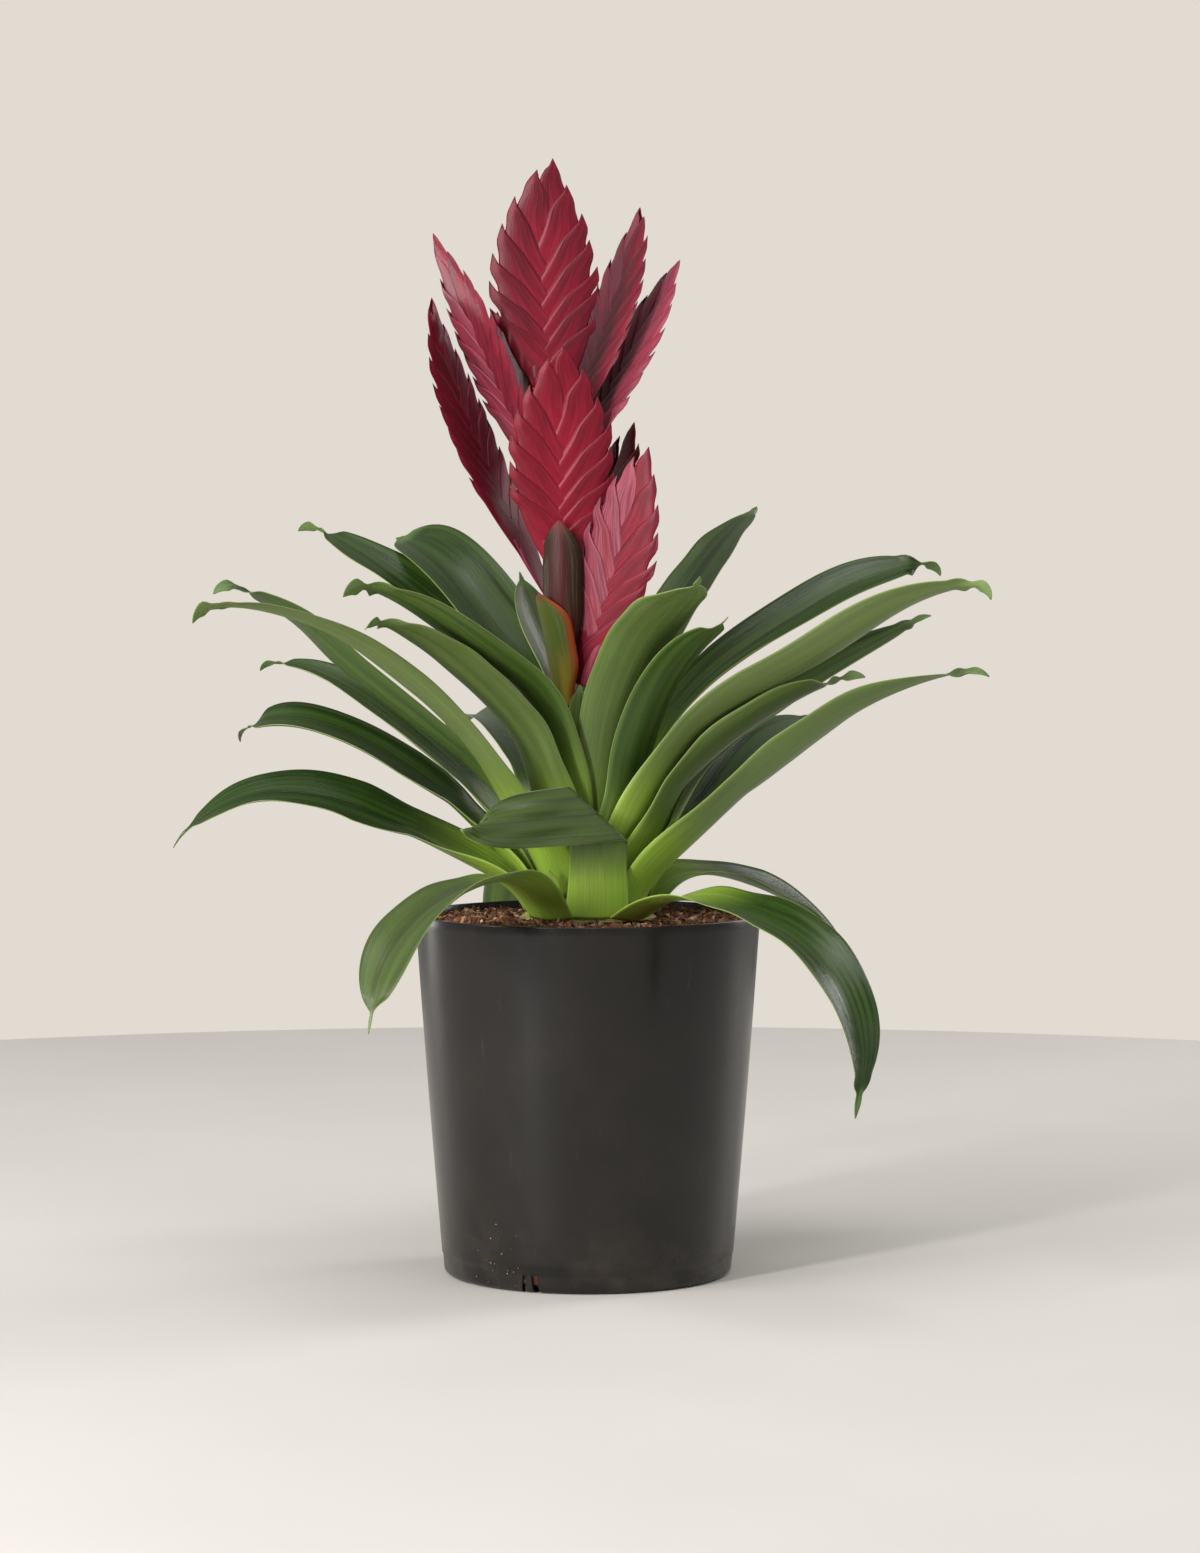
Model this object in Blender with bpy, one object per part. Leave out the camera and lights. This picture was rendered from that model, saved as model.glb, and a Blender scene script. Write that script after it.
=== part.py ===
# A potted bromeliad: a black grow pot, its potting mix, a short stem with thirty strap leaves in a rosette,
# and a red flower stem with two scape bracts and nine flat flower spikes. Metres and degrees, +Z up, origin
# at the middle of the pot's underside. Headings turn from +X towards +Y; climbs are up from the horizontal.
import math
from collections import namedtuple

import bpy
import numpy as np

# Pot
POT_HEIGHT = 0.159
POT_TOP_RADIUS = 0.0762
POT_BASE_RADIUS = 0.0638
POT_WALL = 0.0018
POT_FLOOR = 0.0025
POT_CORNER = 0.003
RIM_ROUNDING = 0.0005
FOOT_BAND = 0.0095
FOOT_STEP = 0.0004
ROUND_STEPS = 64
SLIT_HEIGHT = 0.0078
SLIT_DEPTH = 0.008
SLIT_WIDTHS = (0.0014, 0.0026)
SLIT_SPACING = 0.0062
SLIT_HEADINGS = (247, 7, 127)

# Potting mix
CLEARANCE = 0.0003
MIX_BELOW_RIM = 0.0022
MIX_FOOT_SETBACK = 0.0015

# Stem
STEM_SLOPE = 0.8
STEM_EDGE = 0.0006
STEM_PEG_RADIUS = 0.010
STEM_PEG_DEPTH = 0.030
STEM_PEG_POINT = 0.006
STEM_SIDES = 36

# Rosette
LEAF_THICKNESS = 0.0006
SHEATH_GAP = 0.0011
HEART_GAP = 0.0029
SHEATH_SWELL = 1.15
SHEATH_SPREAD = 60
SHEATH_LENGTH = 0.30
NECK_PINCH = 0.10
NECK_LENGTH = 0.09
CUP_LENGTH = 0.42
BLADE_CUP = 0.55
LEAN_END = 0.5
LEAN_POWER = 1.5
TIP_POWER = 8
TIP_BLUNTNESS = 0.75
TIP_WIDTH = 0.0012
LEAF_STATIONS = 12
LEAF_COLUMNS = 4

# Flower stem and spikes
FLOWER_STEM_RADIUS = 0.0043
FLOWER_STEM_TIP_RADIUS = 0.0022
FLOWER_STEM_LENGTH = 0.198
FLOWER_STEM_OFFSET = -0.001
FLOWER_STEM_HEADING = 184
FLOWER_STEM_CLIMB = (86, 84, 86, 88, 88)
FLOWER_STEM_SIDES = 12
FLOWER_STEM_STATIONS = 13
SPIKE_THICKNESS = 0.0036
SPIKE_EDGE = 0.0010
SPIKE_STALK = 0.0022
SPIKE_STALK_END = 0.08
SPIKE_TAPER = 0.6
SPIKE_TEETH = 9
FIRST_TOOTH = 0.20
LAST_TOOTH = 0.95
SPIKE_OUTLINE = (0.12, 0.32, 0.62, 0.86, 0.99, 1.0, 0.88, 0.56, 0.12)
NOTCH_RUN = 0.012
TOOTH_DEPTH = 0.09
BRACT_THICKNESS = 0.0007
BRACT_FOOT_SHARE = 0.45
BRACT_WIDEST = 0.4
BRACT_TIP_POWER = 4
BRACT_CUP = 0.45
BRACT_STATIONS = 10
BRACT_COLUMNS = 6

# Each leaf: its ring out from the heart, heading, sideways sweep, five climbs from foot to tip, length, roll
# and twist about its own line, and width. A hanging leaf's length is a multiple of its run to the pot's rim.
Leaf = namedtuple("Leaf", "ring heading sweep climb length roll twist width hangs", defaults=(False,))
LEAVES = {
    "leaf_heart_small": Leaf(0, 258, 3, (86, 82, 83, 86, 81), 0.084, -8, -7, 0.015),
    "leaf_heart_upright": Leaf(1, 142, -1, (88, 92, 76, 61, 76), 0.140, 2, -12, 0.029),
    "leaf_broad_back_left": Leaf(2, 137, -11, (90, 77, 44, 36, 1), 0.214, -13, -20, 0.035),
    "leaf_broad_front": Leaf(2, 300, -12, (88, 78, 52, 25, 20), 0.184, -11, 15, 0.033),
    "leaf_upright_back_right": Leaf(3, 54, 13, (88, 69, 43, 33, 18), 0.235, -5, -4, 0.031),
    "leaf_front_left_upper": Leaf(3, 227, -4, (90, 74, 31, 29, 2), 0.209, 0, 13, 0.028),
    "leaf_right_upper": Leaf(4, 14, 2, (88, 64, 36, 28, 3), 0.227, 14, 28, 0.032),
    "leaf_back_left_upper": Leaf(4, 145, -2, (86, 70, 37, 30, 19), 0.238, -3, -13, 0.032),
    "leaf_back_upper": Leaf(5, 88, 0, (86, 57, 23, -8, -36), 0.205, 0, 0, 0.030),
    "leaf_front_left_second": Leaf(5, 216, 19, (89, 69, 40, 30, 4), 0.180, -2, 5, 0.029),
    "leaf_left_channelled": Leaf(6, 198, -2, (89, 43, 37, 41, 13), 0.212, 19, 3, 0.032),
    "leaf_front_right_short": Leaf(6, 317, -24, (90, 74, 62, 35, 12), 0.158, 3, 0, 0.028),
    "leaf_left_long": Leaf(7, 220, -2, (78, 47, 35, 18, -9), 0.247, 21, -13, 0.029),
    "leaf_right_long": Leaf(7, 333, 5, (91, 53, 28, 31, -3), 0.237, -17, -3, 0.032),
    "leaf_left_glossy": Leaf(8, 167, -1, (85, 43, 39, 30, -2), 0.176, -15, 1, 0.032),
    "leaf_right_short": Leaf(8, 345, -6, (83, 59, 40, 30, 15), 0.153, -9, -7, 0.034),
    "leaf_right_shaded": Leaf(9, 10, 12, (84, 54, 37, 28, 30), 0.194, 19, -6, 0.030),
    "leaf_back_left_middle": Leaf(9, 112, 0, (83, 46, 21, -5, -30), 0.199, -14, 0, 0.031),
    "leaf_left_middle": Leaf(10, 172, -5, (85, 35, 33, 16, -25), 0.170, -13, -9, 0.032),
    "leaf_right_lower": Leaf(10, 343, 5, (75, 35, 39, 24, 8), 0.194, -20, 24, 0.034),
    "leaf_back_right_middle": Leaf(10, 71, 0, (83, 46, 19, -7, -31), 0.200, -5, 0, 0.031),
    "leaf_back_right_short": Leaf(11, 36, 28, (81, 29, 45, 16, -14), 0.161, -7, 14, 0.030),
    "leaf_left_lower": Leaf(12, 178, 2, (74, 17, 22, -10, -51), 0.180, -34, 23, 0.033),
    "leaf_back_hanging": Leaf(12, 84, 0, (64, 13, -21, -48, -71), 4.04, 0, 0, 0.031, True),
    "leaf_front_folded": Leaf(13, 279, -127, (86, 44, 16, 4, -36), 0.127, -33, -15, 0.027),
    "leaf_sprout": Leaf(13, 238, 0, (88, 86, 85, 84, 82), 0.021, 0, 0, 0.009),
    "leaf_back_right_hanging": Leaf(14, 37, -1, (57, -5, -22, -45, -84), 3.60, 22, 16, 0.031, True),
    "leaf_back_left_hanging": Leaf(14, 104, 0, (61, 11, -23, -50, -73), 4.23, 0, 0, 0.031, True),
    "leaf_front_left_hanging": Leaf(14, 238, 8, (55, 4, -14, -33, -76), 3.86, 9, -12, 0.033, True),
    "leaf_front_right_hanging": Leaf(14, 308, -8, (30, -2, -15, -51, -115), 4.60, 17, -50, 0.030, True),
}
# Feet side by side in one ring share it, so each clasps the stem through a smaller angle.
SHARED_SPREAD = {
    "leaf_left_glossy": 34,
    "leaf_left_middle": 46,
    "leaf_right_lower": 46,
    "leaf_back_right_middle": 40,
    "leaf_front_left_hanging": 21,
    "leaf_front_right_hanging": 21,
}

# Each spike: where it leaves the flower stem (0 is the foot, 1 the top), its heading, climb at its foot, in
# its middle and at its tip, the heading that its flat side faces, its length and its width.
Spike = namedtuple("Spike", "start heading climb facing length width")
SPIKES = {
    "spike_top": Spike(1.0, 170, (82, 88, 97), 268, 0.114, 0.042),
    "spike_front": Spike(0.62, 268, (90, 85, 80), 270, 0.108, 0.041),
    "spike_left_upper": Spike(0.83, 160, (64, 65, 64), 202, 0.128, 0.038),
    "spike_left_lower": Spike(0.60, 154, (59, 64, 77), 336, 0.148, 0.044),
    "spike_right_upper": Spike(0.94, 43, (64, 66, 70), 210, 0.118, 0.042),
    "spike_right_middle": Spike(0.86, 23, (64, 61, 60), 207, 0.112, 0.041),
    "spike_right_low": Spike(0.67, 44, (54, 59, 65), 215, 0.076, 0.034),
    "spike_right_front": Spike(0.41, 325, (68, 71, 73), 240, 0.110, 0.033),
    "spike_back": Spike(0.84, 118, (42, 56, 74), 205, 0.100, 0.034),
}

# Each scape bract: where it leaves the flower stem, its heading, five climbs, length and width.
Bract = namedtuple("Bract", "start heading climb length width")
BRACTS = {
    "scape_bract_olive": Bract(0.45, 254, (58, 77, 87, 90, 92), 0.066, 0.021),
    "scape_bract_red_edged": Bract(0.36, 222, (72, 75, 76, 74, 72), 0.052, 0.020),
}


def mix_level():
    return POT_HEIGHT - MIX_BELOW_RIM


def ring_radius(ring):
    """Radius of a ring of leaf feet, from the flower stem outwards."""
    return FLOWER_STEM_RADIUS + HEART_GAP + CLEARANCE + ring * (LEAF_THICKNESS + SHEATH_GAP)


def outer_ring():
    return max(leaf.ring for leaf in LEAVES.values())


def foot_height(radius):
    """Height of a leaf's foot on the stem's cone."""
    rosette = ring_radius(outer_ring())
    return mix_level() + STEM_EDGE + CLEARANCE + (rosette - radius) * STEM_SLOPE


def clear_scene():
    for thing in list(bpy.data.objects):
        bpy.data.objects.remove(thing, do_unlink=True)


def material(name, color, roughness, metallic=0.0):
    made = bpy.data.materials.new(name)
    made.use_nodes = True
    shader = made.node_tree.nodes["Principled BSDF"]
    shader.inputs["Base Color"].default_value = (*color, 1.0)
    shader.inputs["Roughness"].default_value = roughness
    shader.inputs["Metallic"].default_value = metallic
    return made


def mesh_object(name, points, faces, finish, smooth_angle=40):
    mesh = bpy.data.meshes.new(name)
    mesh.from_pydata([tuple(point) for point in points], [], faces)
    mesh.materials.append(finish)
    mesh.shade_smooth()
    mesh.set_sharp_from_angle(angle=math.radians(smooth_angle))
    made = bpy.data.objects.new(name, mesh)
    bpy.context.scene.collection.objects.link(made)
    return made


def loft(name, rings, finish):
    """A closed body through rings of points, each ring turning the same way, with both ends capped."""
    count, sides, _ = rings.shape
    faces = []
    for row in range(count - 1):
        for side in range(sides):
            following = (side + 1) % sides
            faces.append(
                (
                    row * sides + side,
                    row * sides + following,
                    (row + 1) * sides + following,
                    (row + 1) * sides + side,
                )
            )
    faces.append(tuple(reversed(range(sides))))
    faces.append(tuple((count - 1) * sides + side for side in range(sides)))
    return mesh_object(name, rings.reshape(-1, 3), faces, finish)


def sheet(name, grid, thickness, finish):
    """A thin closed body from a grid of points, given its thickness evenly on both sides."""
    rows, columns, _ = grid.shape
    faces = [
        (
            row * columns + column,
            row * columns + column + 1,
            (row + 1) * columns + column + 1,
            (row + 1) * columns + column,
        )
        for row in range(rows - 1)
        for column in range(columns - 1)
    ]
    made = mesh_object(name, grid.reshape(-1, 3), faces, finish)
    solidify = made.modifiers.new("thickness", "SOLIDIFY")
    solidify.thickness = thickness
    solidify.offset = 0.0
    return made


def turned(name, outline, sides, finish):
    """A body turned about Z from an outline of (radius, height) points, closed at both ends."""
    angles = np.arange(sides) * 2 * math.pi / sides
    radius, height = (values[:, None] for values in np.array(outline).T)
    level = height + np.zeros(sides)
    return loft(name, np.stack([radius * np.cos(angles), radius * np.sin(angles), level], axis=2), finish)


def slope_at(height):
    """Outer radius of the pot's wall at a height."""
    return POT_BASE_RADIUS + (POT_TOP_RADIUS - POT_BASE_RADIUS) * height / POT_HEIGHT


def build_pot(finish):
    corner = [
        (
            slope_at(POT_CORNER) - FOOT_STEP - POT_CORNER * (1 - math.sin(angle)),
            POT_CORNER * (1 - math.cos(angle)),
        )
        for angle in np.radians((0, 30, 60, 90))
    ]
    outline = corner + [
        (slope_at(FOOT_BAND) - FOOT_STEP, FOOT_BAND - FOOT_STEP),
        (slope_at(FOOT_BAND), FOOT_BAND),
        (slope_at(POT_HEIGHT - RIM_ROUNDING), POT_HEIGHT - RIM_ROUNDING),
        (POT_TOP_RADIUS - RIM_ROUNDING, POT_HEIGHT),
        (POT_TOP_RADIUS - POT_WALL, POT_HEIGHT),
        (slope_at(POT_FLOOR) - POT_WALL, POT_FLOOR),
    ]
    pot = turned("pot", outline, ROUND_STEPS, finish)
    for heading in SLIT_HEADINGS:
        for index, width in enumerate(SLIT_WIDTHS):
            cutter = drainage_cutter(heading, index, width)
            cut = pot.modifiers.new(cutter.name, "BOOLEAN")
            cut.operation = "DIFFERENCE"
            cut.object = cutter


def drainage_cutter(heading, index, width):
    """A block that cuts one drainage slit through the corner of the wall and the floor."""
    side = (index - 0.5) * SLIT_SPACING
    bpy.ops.mesh.primitive_cube_add(size=1)
    cutter = bpy.context.object
    cutter.name = f"slit_cutter_{heading}_{index}"
    cutter.scale = (2 * SLIT_DEPTH, width, 2 * SLIT_HEIGHT)
    turn = math.radians(heading)
    cutter.rotation_euler = (0, 0, turn)
    cutter.location = (
        POT_BASE_RADIUS * math.cos(turn) - side * math.sin(turn),
        POT_BASE_RADIUS * math.sin(turn) + side * math.cos(turn),
        0,
    )
    cutter.hide_render = True
    cutter.display_type = "WIRE"
    return cutter


def build_mix(finish):
    floor = POT_FLOOR + CLEARANCE
    wall = POT_WALL + CLEARANCE
    top = mix_level()
    socket = STEM_PEG_RADIUS + CLEARANCE
    outline = [
        (slope_at(floor) - wall - MIX_FOOT_SETBACK, floor),
        (slope_at(floor + MIX_FOOT_SETBACK) - wall, floor + MIX_FOOT_SETBACK),
        (slope_at(top) - wall, top),
        (socket, top),
        (socket, top - STEM_PEG_DEPTH - CLEARANCE),
    ]
    turned("potting_mix", outline, ROUND_STEPS, finish)


def build_stem(finish):
    """The caudex: a peg in the mix under a cone that carries the leaf feet."""
    base = mix_level() + CLEARANCE
    edge = ring_radius(outer_ring()) - LEAF_THICKNESS
    heart = FLOWER_STEM_RADIUS
    cone_top = base + STEM_EDGE - CLEARANCE + (edge - heart) * STEM_SLOPE
    outline = [
        (STEM_PEG_RADIUS - STEM_PEG_POINT, base - STEM_PEG_DEPTH),
        (STEM_PEG_RADIUS, base - STEM_PEG_DEPTH + STEM_PEG_POINT),
        (STEM_PEG_RADIUS, base),
        (edge, base),
        (edge, base + STEM_EDGE - CLEARANCE),
        (heart, cone_top),
    ]
    turned("stem", outline, STEM_SIDES, finish)
    return cone_top


def through(values, where):
    """A smooth curve through equally spaced values, read at places from 0 to 1."""
    values = np.asarray(values, float)
    spans = len(values) - 1
    padded = np.concatenate([[2 * values[0] - values[1]], values, [2 * values[-1] - values[-2]]])
    place = np.clip(where, 0, 1) * spans
    first = np.minimum(place.astype(int), spans - 1)
    part = place - first
    before, start, end, after = (padded[first + step] for step in range(4))
    slope = end - before
    bend = 2 * before - 5 * start + 4 * end - after
    turn = 3 * (start - end) + after - before
    return start + 0.5 * part * (slope + part * (bend + part * turn))


def growth_line(foot, heading, sweep, climb, length, count=161):
    """Places, points and directions along a line that starts at foot and climbs and turns as it grows."""
    where = np.linspace(0, 1, count)
    rise = np.radians(through(climb, where))
    turn = np.radians(heading + sweep * where**2)
    along = np.stack([np.cos(rise) * np.cos(turn), np.cos(rise) * np.sin(turn), np.sin(rise)], axis=1)
    steps = np.zeros((count, 3))
    steps[1:] = (along[1:] + along[:-1]) / 2 * length / (count - 1)
    points = np.asarray(foot) + np.cumsum(steps, axis=0)
    side = np.stack([-np.sin(turn), np.cos(turn), np.zeros(count)], axis=1)
    upper = np.cross(along, side)
    return where, points, along, side, upper


def smooth(value):
    value = np.clip(value, 0, 1)
    return value * value * (3 - 2 * value)


def leaf_half_width(leaf, radius, spread, where):
    """Half width: a broad sheath, a slight neck, an even blade and a tapering tip."""
    sheath = min(SHEATH_SWELL * leaf.width, 2 * radius * math.radians(spread))
    body = sheath + (leaf.width - sheath) * smooth(where / SHEATH_LENGTH)
    neck = 1 - NECK_PINCH * np.exp(-(((where - SHEATH_LENGTH) / NECK_LENGTH) ** 2))
    tip = (1 - where**TIP_POWER) ** TIP_BLUNTNESS
    return np.maximum(body * neck * tip, TIP_WIDTH) / 2


def curled(points, side, upper, half, bend, stations, columns):
    """A grid along a line: each row is an arc of the given half width and curvature, curled towards upper."""
    chosen = np.linspace(0, len(points) - 1, stations).round().astype(int)
    across = np.linspace(-1, 1, columns + 1)
    angle = (half * bend)[chosen, None] * across
    sideways = (np.sin(angle) / bend[chosen, None])[..., None]
    inwards = ((1 - np.cos(angle)) / bend[chosen, None])[..., None]
    return points[chosen, None] + side[chosen, None] * sideways + upper[chosen, None] * inwards


def build_leaf(name, leaf, finish):
    radius = ring_radius(leaf.ring)
    turn = math.radians(leaf.heading)
    foot = (radius * math.cos(turn), radius * math.sin(turn), foot_height(radius))
    length = leaf.length * (POT_TOP_RADIUS - radius) if leaf.hangs else leaf.length
    where, points, _, side, upper = growth_line(foot, leaf.heading, leaf.sweep, leaf.climb, length)
    lean = leaf.roll * np.clip(where / LEAN_END, 0, 1) ** LEAN_POWER + leaf.twist * where**3
    lean = np.radians(lean)[:, None]
    side, upper = side * np.cos(lean) + upper * np.sin(lean), upper * np.cos(lean) - side * np.sin(lean)
    half = leaf_half_width(leaf, radius, SHARED_SPREAD.get(name, SHEATH_SPREAD), where)
    flat = smooth(where / CUP_LENGTH)
    bend = (1 - flat) / radius + flat * BLADE_CUP / (leaf.width / 2)
    grid = curled(points, side, upper, half, bend, LEAF_STATIONS, LEAF_COLUMNS)
    sheet(name, grid, LEAF_THICKNESS, finish)


def flower_stem_line(top_of_stem):
    foot = (FLOWER_STEM_OFFSET, 0, top_of_stem + CLEARANCE)
    return growth_line(foot, FLOWER_STEM_HEADING, 0, FLOWER_STEM_CLIMB, FLOWER_STEM_LENGTH)


def flower_stem_radius(where):
    return FLOWER_STEM_RADIUS + (FLOWER_STEM_TIP_RADIUS - FLOWER_STEM_RADIUS) * where


def build_flower_stem(line, finish):
    where, points, _, side, upper = line
    chosen = np.linspace(0, len(where) - 1, FLOWER_STEM_STATIONS).round().astype(int)
    angles = np.arange(FLOWER_STEM_SIDES) * 2 * math.pi / FLOWER_STEM_SIDES
    radius = flower_stem_radius(where[chosen])[:, None, None]
    rings = (
        points[chosen, None]
        + side[chosen, None] * np.cos(angles)[None, :, None] * radius
        + upper[chosen, None] * np.sin(angles)[None, :, None] * radius
    )
    # The flower stem's foot is level, so that it stands evenly on the stem.
    rings[0, :, 2] = points[0, 2]
    loft("flower_stem", rings, finish)


def stem_place(line, start, heading, reach):
    """A point beside the flower stem, at a place along it and a heading out from it."""
    where, points = line[0], line[1]
    turn = math.radians(heading)
    index = int(round(start * (len(where) - 1)))
    out = flower_stem_radius(where[index]) + CLEARANCE + reach
    return points[index] + np.array([math.cos(turn), math.sin(turn), 0]) * out


def build_spike(name, spike, line, finish):
    teeth = np.linspace(FIRST_TOOTH, LAST_TOOTH, SPIKE_TEETH)
    places = np.unique(np.concatenate([[0, SPIKE_STALK_END, 1], teeth, teeth + NOTCH_RUN]))
    if spike.start >= 1:
        foot = line[1][-1] + np.array([0, 0, CLEARANCE])
    else:
        foot = stem_place(line, spike.start, spike.heading, SPIKE_THICKNESS / 2)
    where, points, along, _, _ = growth_line(foot, spike.heading, 0, spike.climb, spike.length)
    chosen = (places * (len(where) - 1)).round().astype(int)
    face = np.array([math.cos(math.radians(spike.facing)), math.sin(math.radians(spike.facing)), 0])
    upper = face - (along @ face)[:, None] * along
    upper /= np.linalg.norm(upper, axis=1)[:, None]
    side = np.cross(upper, along)
    share = through(SPIKE_OUTLINE, places)
    is_tip = np.isin(places, teeth)
    is_notch = np.isin(places, teeth + NOTCH_RUN)
    share = share * (1 + TOOTH_DEPTH * is_tip - TOOTH_DEPTH * is_notch)
    half = np.maximum(share * spike.width / 2, SPIKE_STALK * (1 - SPIKE_TAPER * places))
    thick = SPIKE_THICKNESS / 2 * (1 - SPIKE_TAPER * places)
    edge = np.minimum(SPIKE_EDGE / 2, thick)
    corners = ((1, -1, 0), (1, 1, 0), (0, 0, 1), (-1, 1, 0), (-1, -1, 0), (0, 0, -1))
    rings = np.stack(
        [
            points[chosen]
            + side[chosen] * (half * across)[:, None]
            + upper[chosen] * (edge * bevel + thick * ridge)[:, None]
            for across, bevel, ridge in corners
        ],
        axis=1,
    )
    loft(name, rings, finish)


def build_bract(name, bract, line, finish):
    foot = stem_place(line, bract.start, bract.heading, BRACT_THICKNESS / 2)
    where, points, _, side, upper = growth_line(foot, bract.heading, 0, bract.climb, bract.length)
    widening = BRACT_FOOT_SHARE + (1 - BRACT_FOOT_SHARE) * smooth(where / BRACT_WIDEST)
    tip = (1 - where**BRACT_TIP_POWER) ** TIP_BLUNTNESS
    half = np.maximum(bract.width * widening * tip, TIP_WIDTH) / 2
    clasp = flower_stem_radius(bract.start) + CLEARANCE + BRACT_THICKNESS / 2
    bend = 1 / (clasp + (bract.width * BRACT_CUP - clasp) * smooth(where / BRACT_WIDEST))
    grid = curled(points, side, upper, half, bend, BRACT_STATIONS, BRACT_COLUMNS)
    sheet(name, grid, BRACT_THICKNESS, finish)


def main():
    clear_scene()
    build_pot(material("black_plastic", (0.030, 0.027, 0.025), 0.38))
    build_mix(material("peat_and_bark", (0.10, 0.055, 0.035), 0.95))
    top_of_stem = build_stem(material("stem_tissue", (0.36, 0.40, 0.16), 0.7))
    leaf_green = material("leaf_green", (0.075, 0.16, 0.03), 0.4)
    for name, leaf in LEAVES.items():
        build_leaf(name, leaf, leaf_green)
    line = flower_stem_line(top_of_stem)
    build_flower_stem(line, material("flower_stem_red", (0.30, 0.03, 0.04), 0.45))
    crimson = material("crimson", (0.35, 0.018, 0.04), 0.4)
    for name, spike in SPIKES.items():
        build_spike(name, spike, line, crimson)
    olive = material("scape_bract_green", (0.16, 0.12, 0.04), 0.5)
    for name, bract in BRACTS.items():
        build_bract(name, bract, line, olive)


main()
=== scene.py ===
import math

import bpy
import numpy as np
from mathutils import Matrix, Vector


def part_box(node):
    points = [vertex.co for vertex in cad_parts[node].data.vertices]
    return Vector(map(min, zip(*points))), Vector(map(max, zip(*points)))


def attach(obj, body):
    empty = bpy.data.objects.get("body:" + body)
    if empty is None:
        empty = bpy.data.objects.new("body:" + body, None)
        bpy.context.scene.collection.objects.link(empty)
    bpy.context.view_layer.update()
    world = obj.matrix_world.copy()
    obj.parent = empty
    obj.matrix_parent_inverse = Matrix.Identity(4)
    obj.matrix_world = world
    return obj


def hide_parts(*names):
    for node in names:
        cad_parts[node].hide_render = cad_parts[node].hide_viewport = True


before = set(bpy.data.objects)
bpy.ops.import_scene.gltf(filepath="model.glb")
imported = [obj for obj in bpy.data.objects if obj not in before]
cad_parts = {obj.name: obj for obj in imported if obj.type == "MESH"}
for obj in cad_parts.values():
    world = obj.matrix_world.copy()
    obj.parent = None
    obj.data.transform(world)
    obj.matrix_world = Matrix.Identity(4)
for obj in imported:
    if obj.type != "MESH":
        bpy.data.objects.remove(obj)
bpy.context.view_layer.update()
rng = np.random.default_rng(11)
mm = 0.001


def tone(red, green, blue):
    # a screen colour from 0 to 255 as linear light: ((c / 255 + 0.055) / 1.055) to the power 2.4
    shares = (np.array([red, green, blue]) / 255 + 0.055) / 1.055
    return (*shares**2.4, 1.0)


def newFinish(name, **settings):  # settings are Principled sockets that are the same all over
    finish = bpy.data.materials.new(name)
    finish.use_nodes = True
    shader = finish.node_tree.nodes["Principled BSDF"]
    for socket, value in settings.items():
        shader.inputs[socket.replace("_", " ")].default_value = value
    return finish, shader


def put(finish, kind, sockets=None, output=0, **settings):
    # adds a node: a socket given another node's output is linked, and any other value is set
    made = finish.node_tree.nodes.new(kind)
    for key, value in settings.items():
        setattr(made, key, value)
    for key, value in (sockets or {}).items():
        if isinstance(value, bpy.types.NodeSocket):
            finish.node_tree.links.new(value, made.inputs[key])
        else:
            made.inputs[key].default_value = value
    return made.outputs[output]


def wire(finish, source, shader, socket):
    finish.node_tree.links.new(source, shader.inputs[socket])


def number(finish, operation, *values, clamp=False):
    return put(finish, "ShaderNodeMath", dict(enumerate(values)), operation=operation, use_clamp=clamp)


def times(finish, first, second):
    return number(finish, "MULTIPLY", first, second)


def timesPlus(finish, first, second, third):  # first times second, plus third
    return number(finish, "MULTIPLY_ADD", first, second, third)


def blend(finish, factor, first, second):  # the first colour where factor is 0, the second where it is 1
    return put(finish, "ShaderNodeMix", {0: factor, 6: first, 7: second}, 2,
               data_type="RGBA", clamp_factor=True)


def ease(finish, value, low, high, start=0.0, end=1.0):  # start below low, end above high, eased between
    return put(finish, "ShaderNodeMapRange", {0: value, 1: low, 2: high, 3: start, 4: end},
               interpolation_type="SMOOTHSTEP")


def grain(finish, where, scale, detail=3.0, roughness=0.55, stretch=(1, 1, 1)):
    vector = put(finish, "ShaderNodeMapping", {"Vector": where, "Scale": stretch})
    return put(finish, "ShaderNodeTexNoise",
               {"Vector": vector, "Scale": scale, "Detail": detail, "Roughness": roughness})


def dress(finish, shader, colour, roughness, height, distance, strength):
    # links the colour, the roughness and a relief of this height to the shader
    bump = put(finish, "ShaderNodeBump", {"Height": height, "Distance": distance, "Strength": strength})
    wire(finish, colour, shader, "Base Color")
    wire(finish, roughness, shader, "Roughness")
    wire(finish, bump, shader, "Normal")
    return finish


def ownPlace(finish):  # the piece's own coordinates, so that a pattern stays fixed to it
    return put(finish, "ShaderNodeTexCoord", output=3)


def attribute(finish, name):
    return put(finish, "ShaderNodeAttribute", output=2, attribute_name=name)


def mapped(finish):  # the piece's own map, with a different place in the pattern for each tint
    own = put(finish, "ShaderNodeUVMap", uv_map="grown")
    split = finish.node_tree.nodes.new("ShaderNodeSeparateXYZ")
    finish.node_tree.links.new(own, split.inputs[0])
    shift = times(finish, attribute(finish, "tint"), 37.0)
    along, across = split.outputs[:2]
    return put(finish, "ShaderNodeCombineXYZ", {0: along, 1: across, 2: shift}), across


def besideMiddle(finish, across):  # the size of across minus 0.5, which is 0 on the piece's middle line
    return number(finish, "ABSOLUTE", number(finish, "SUBTRACT", across, 0.5))


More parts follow.
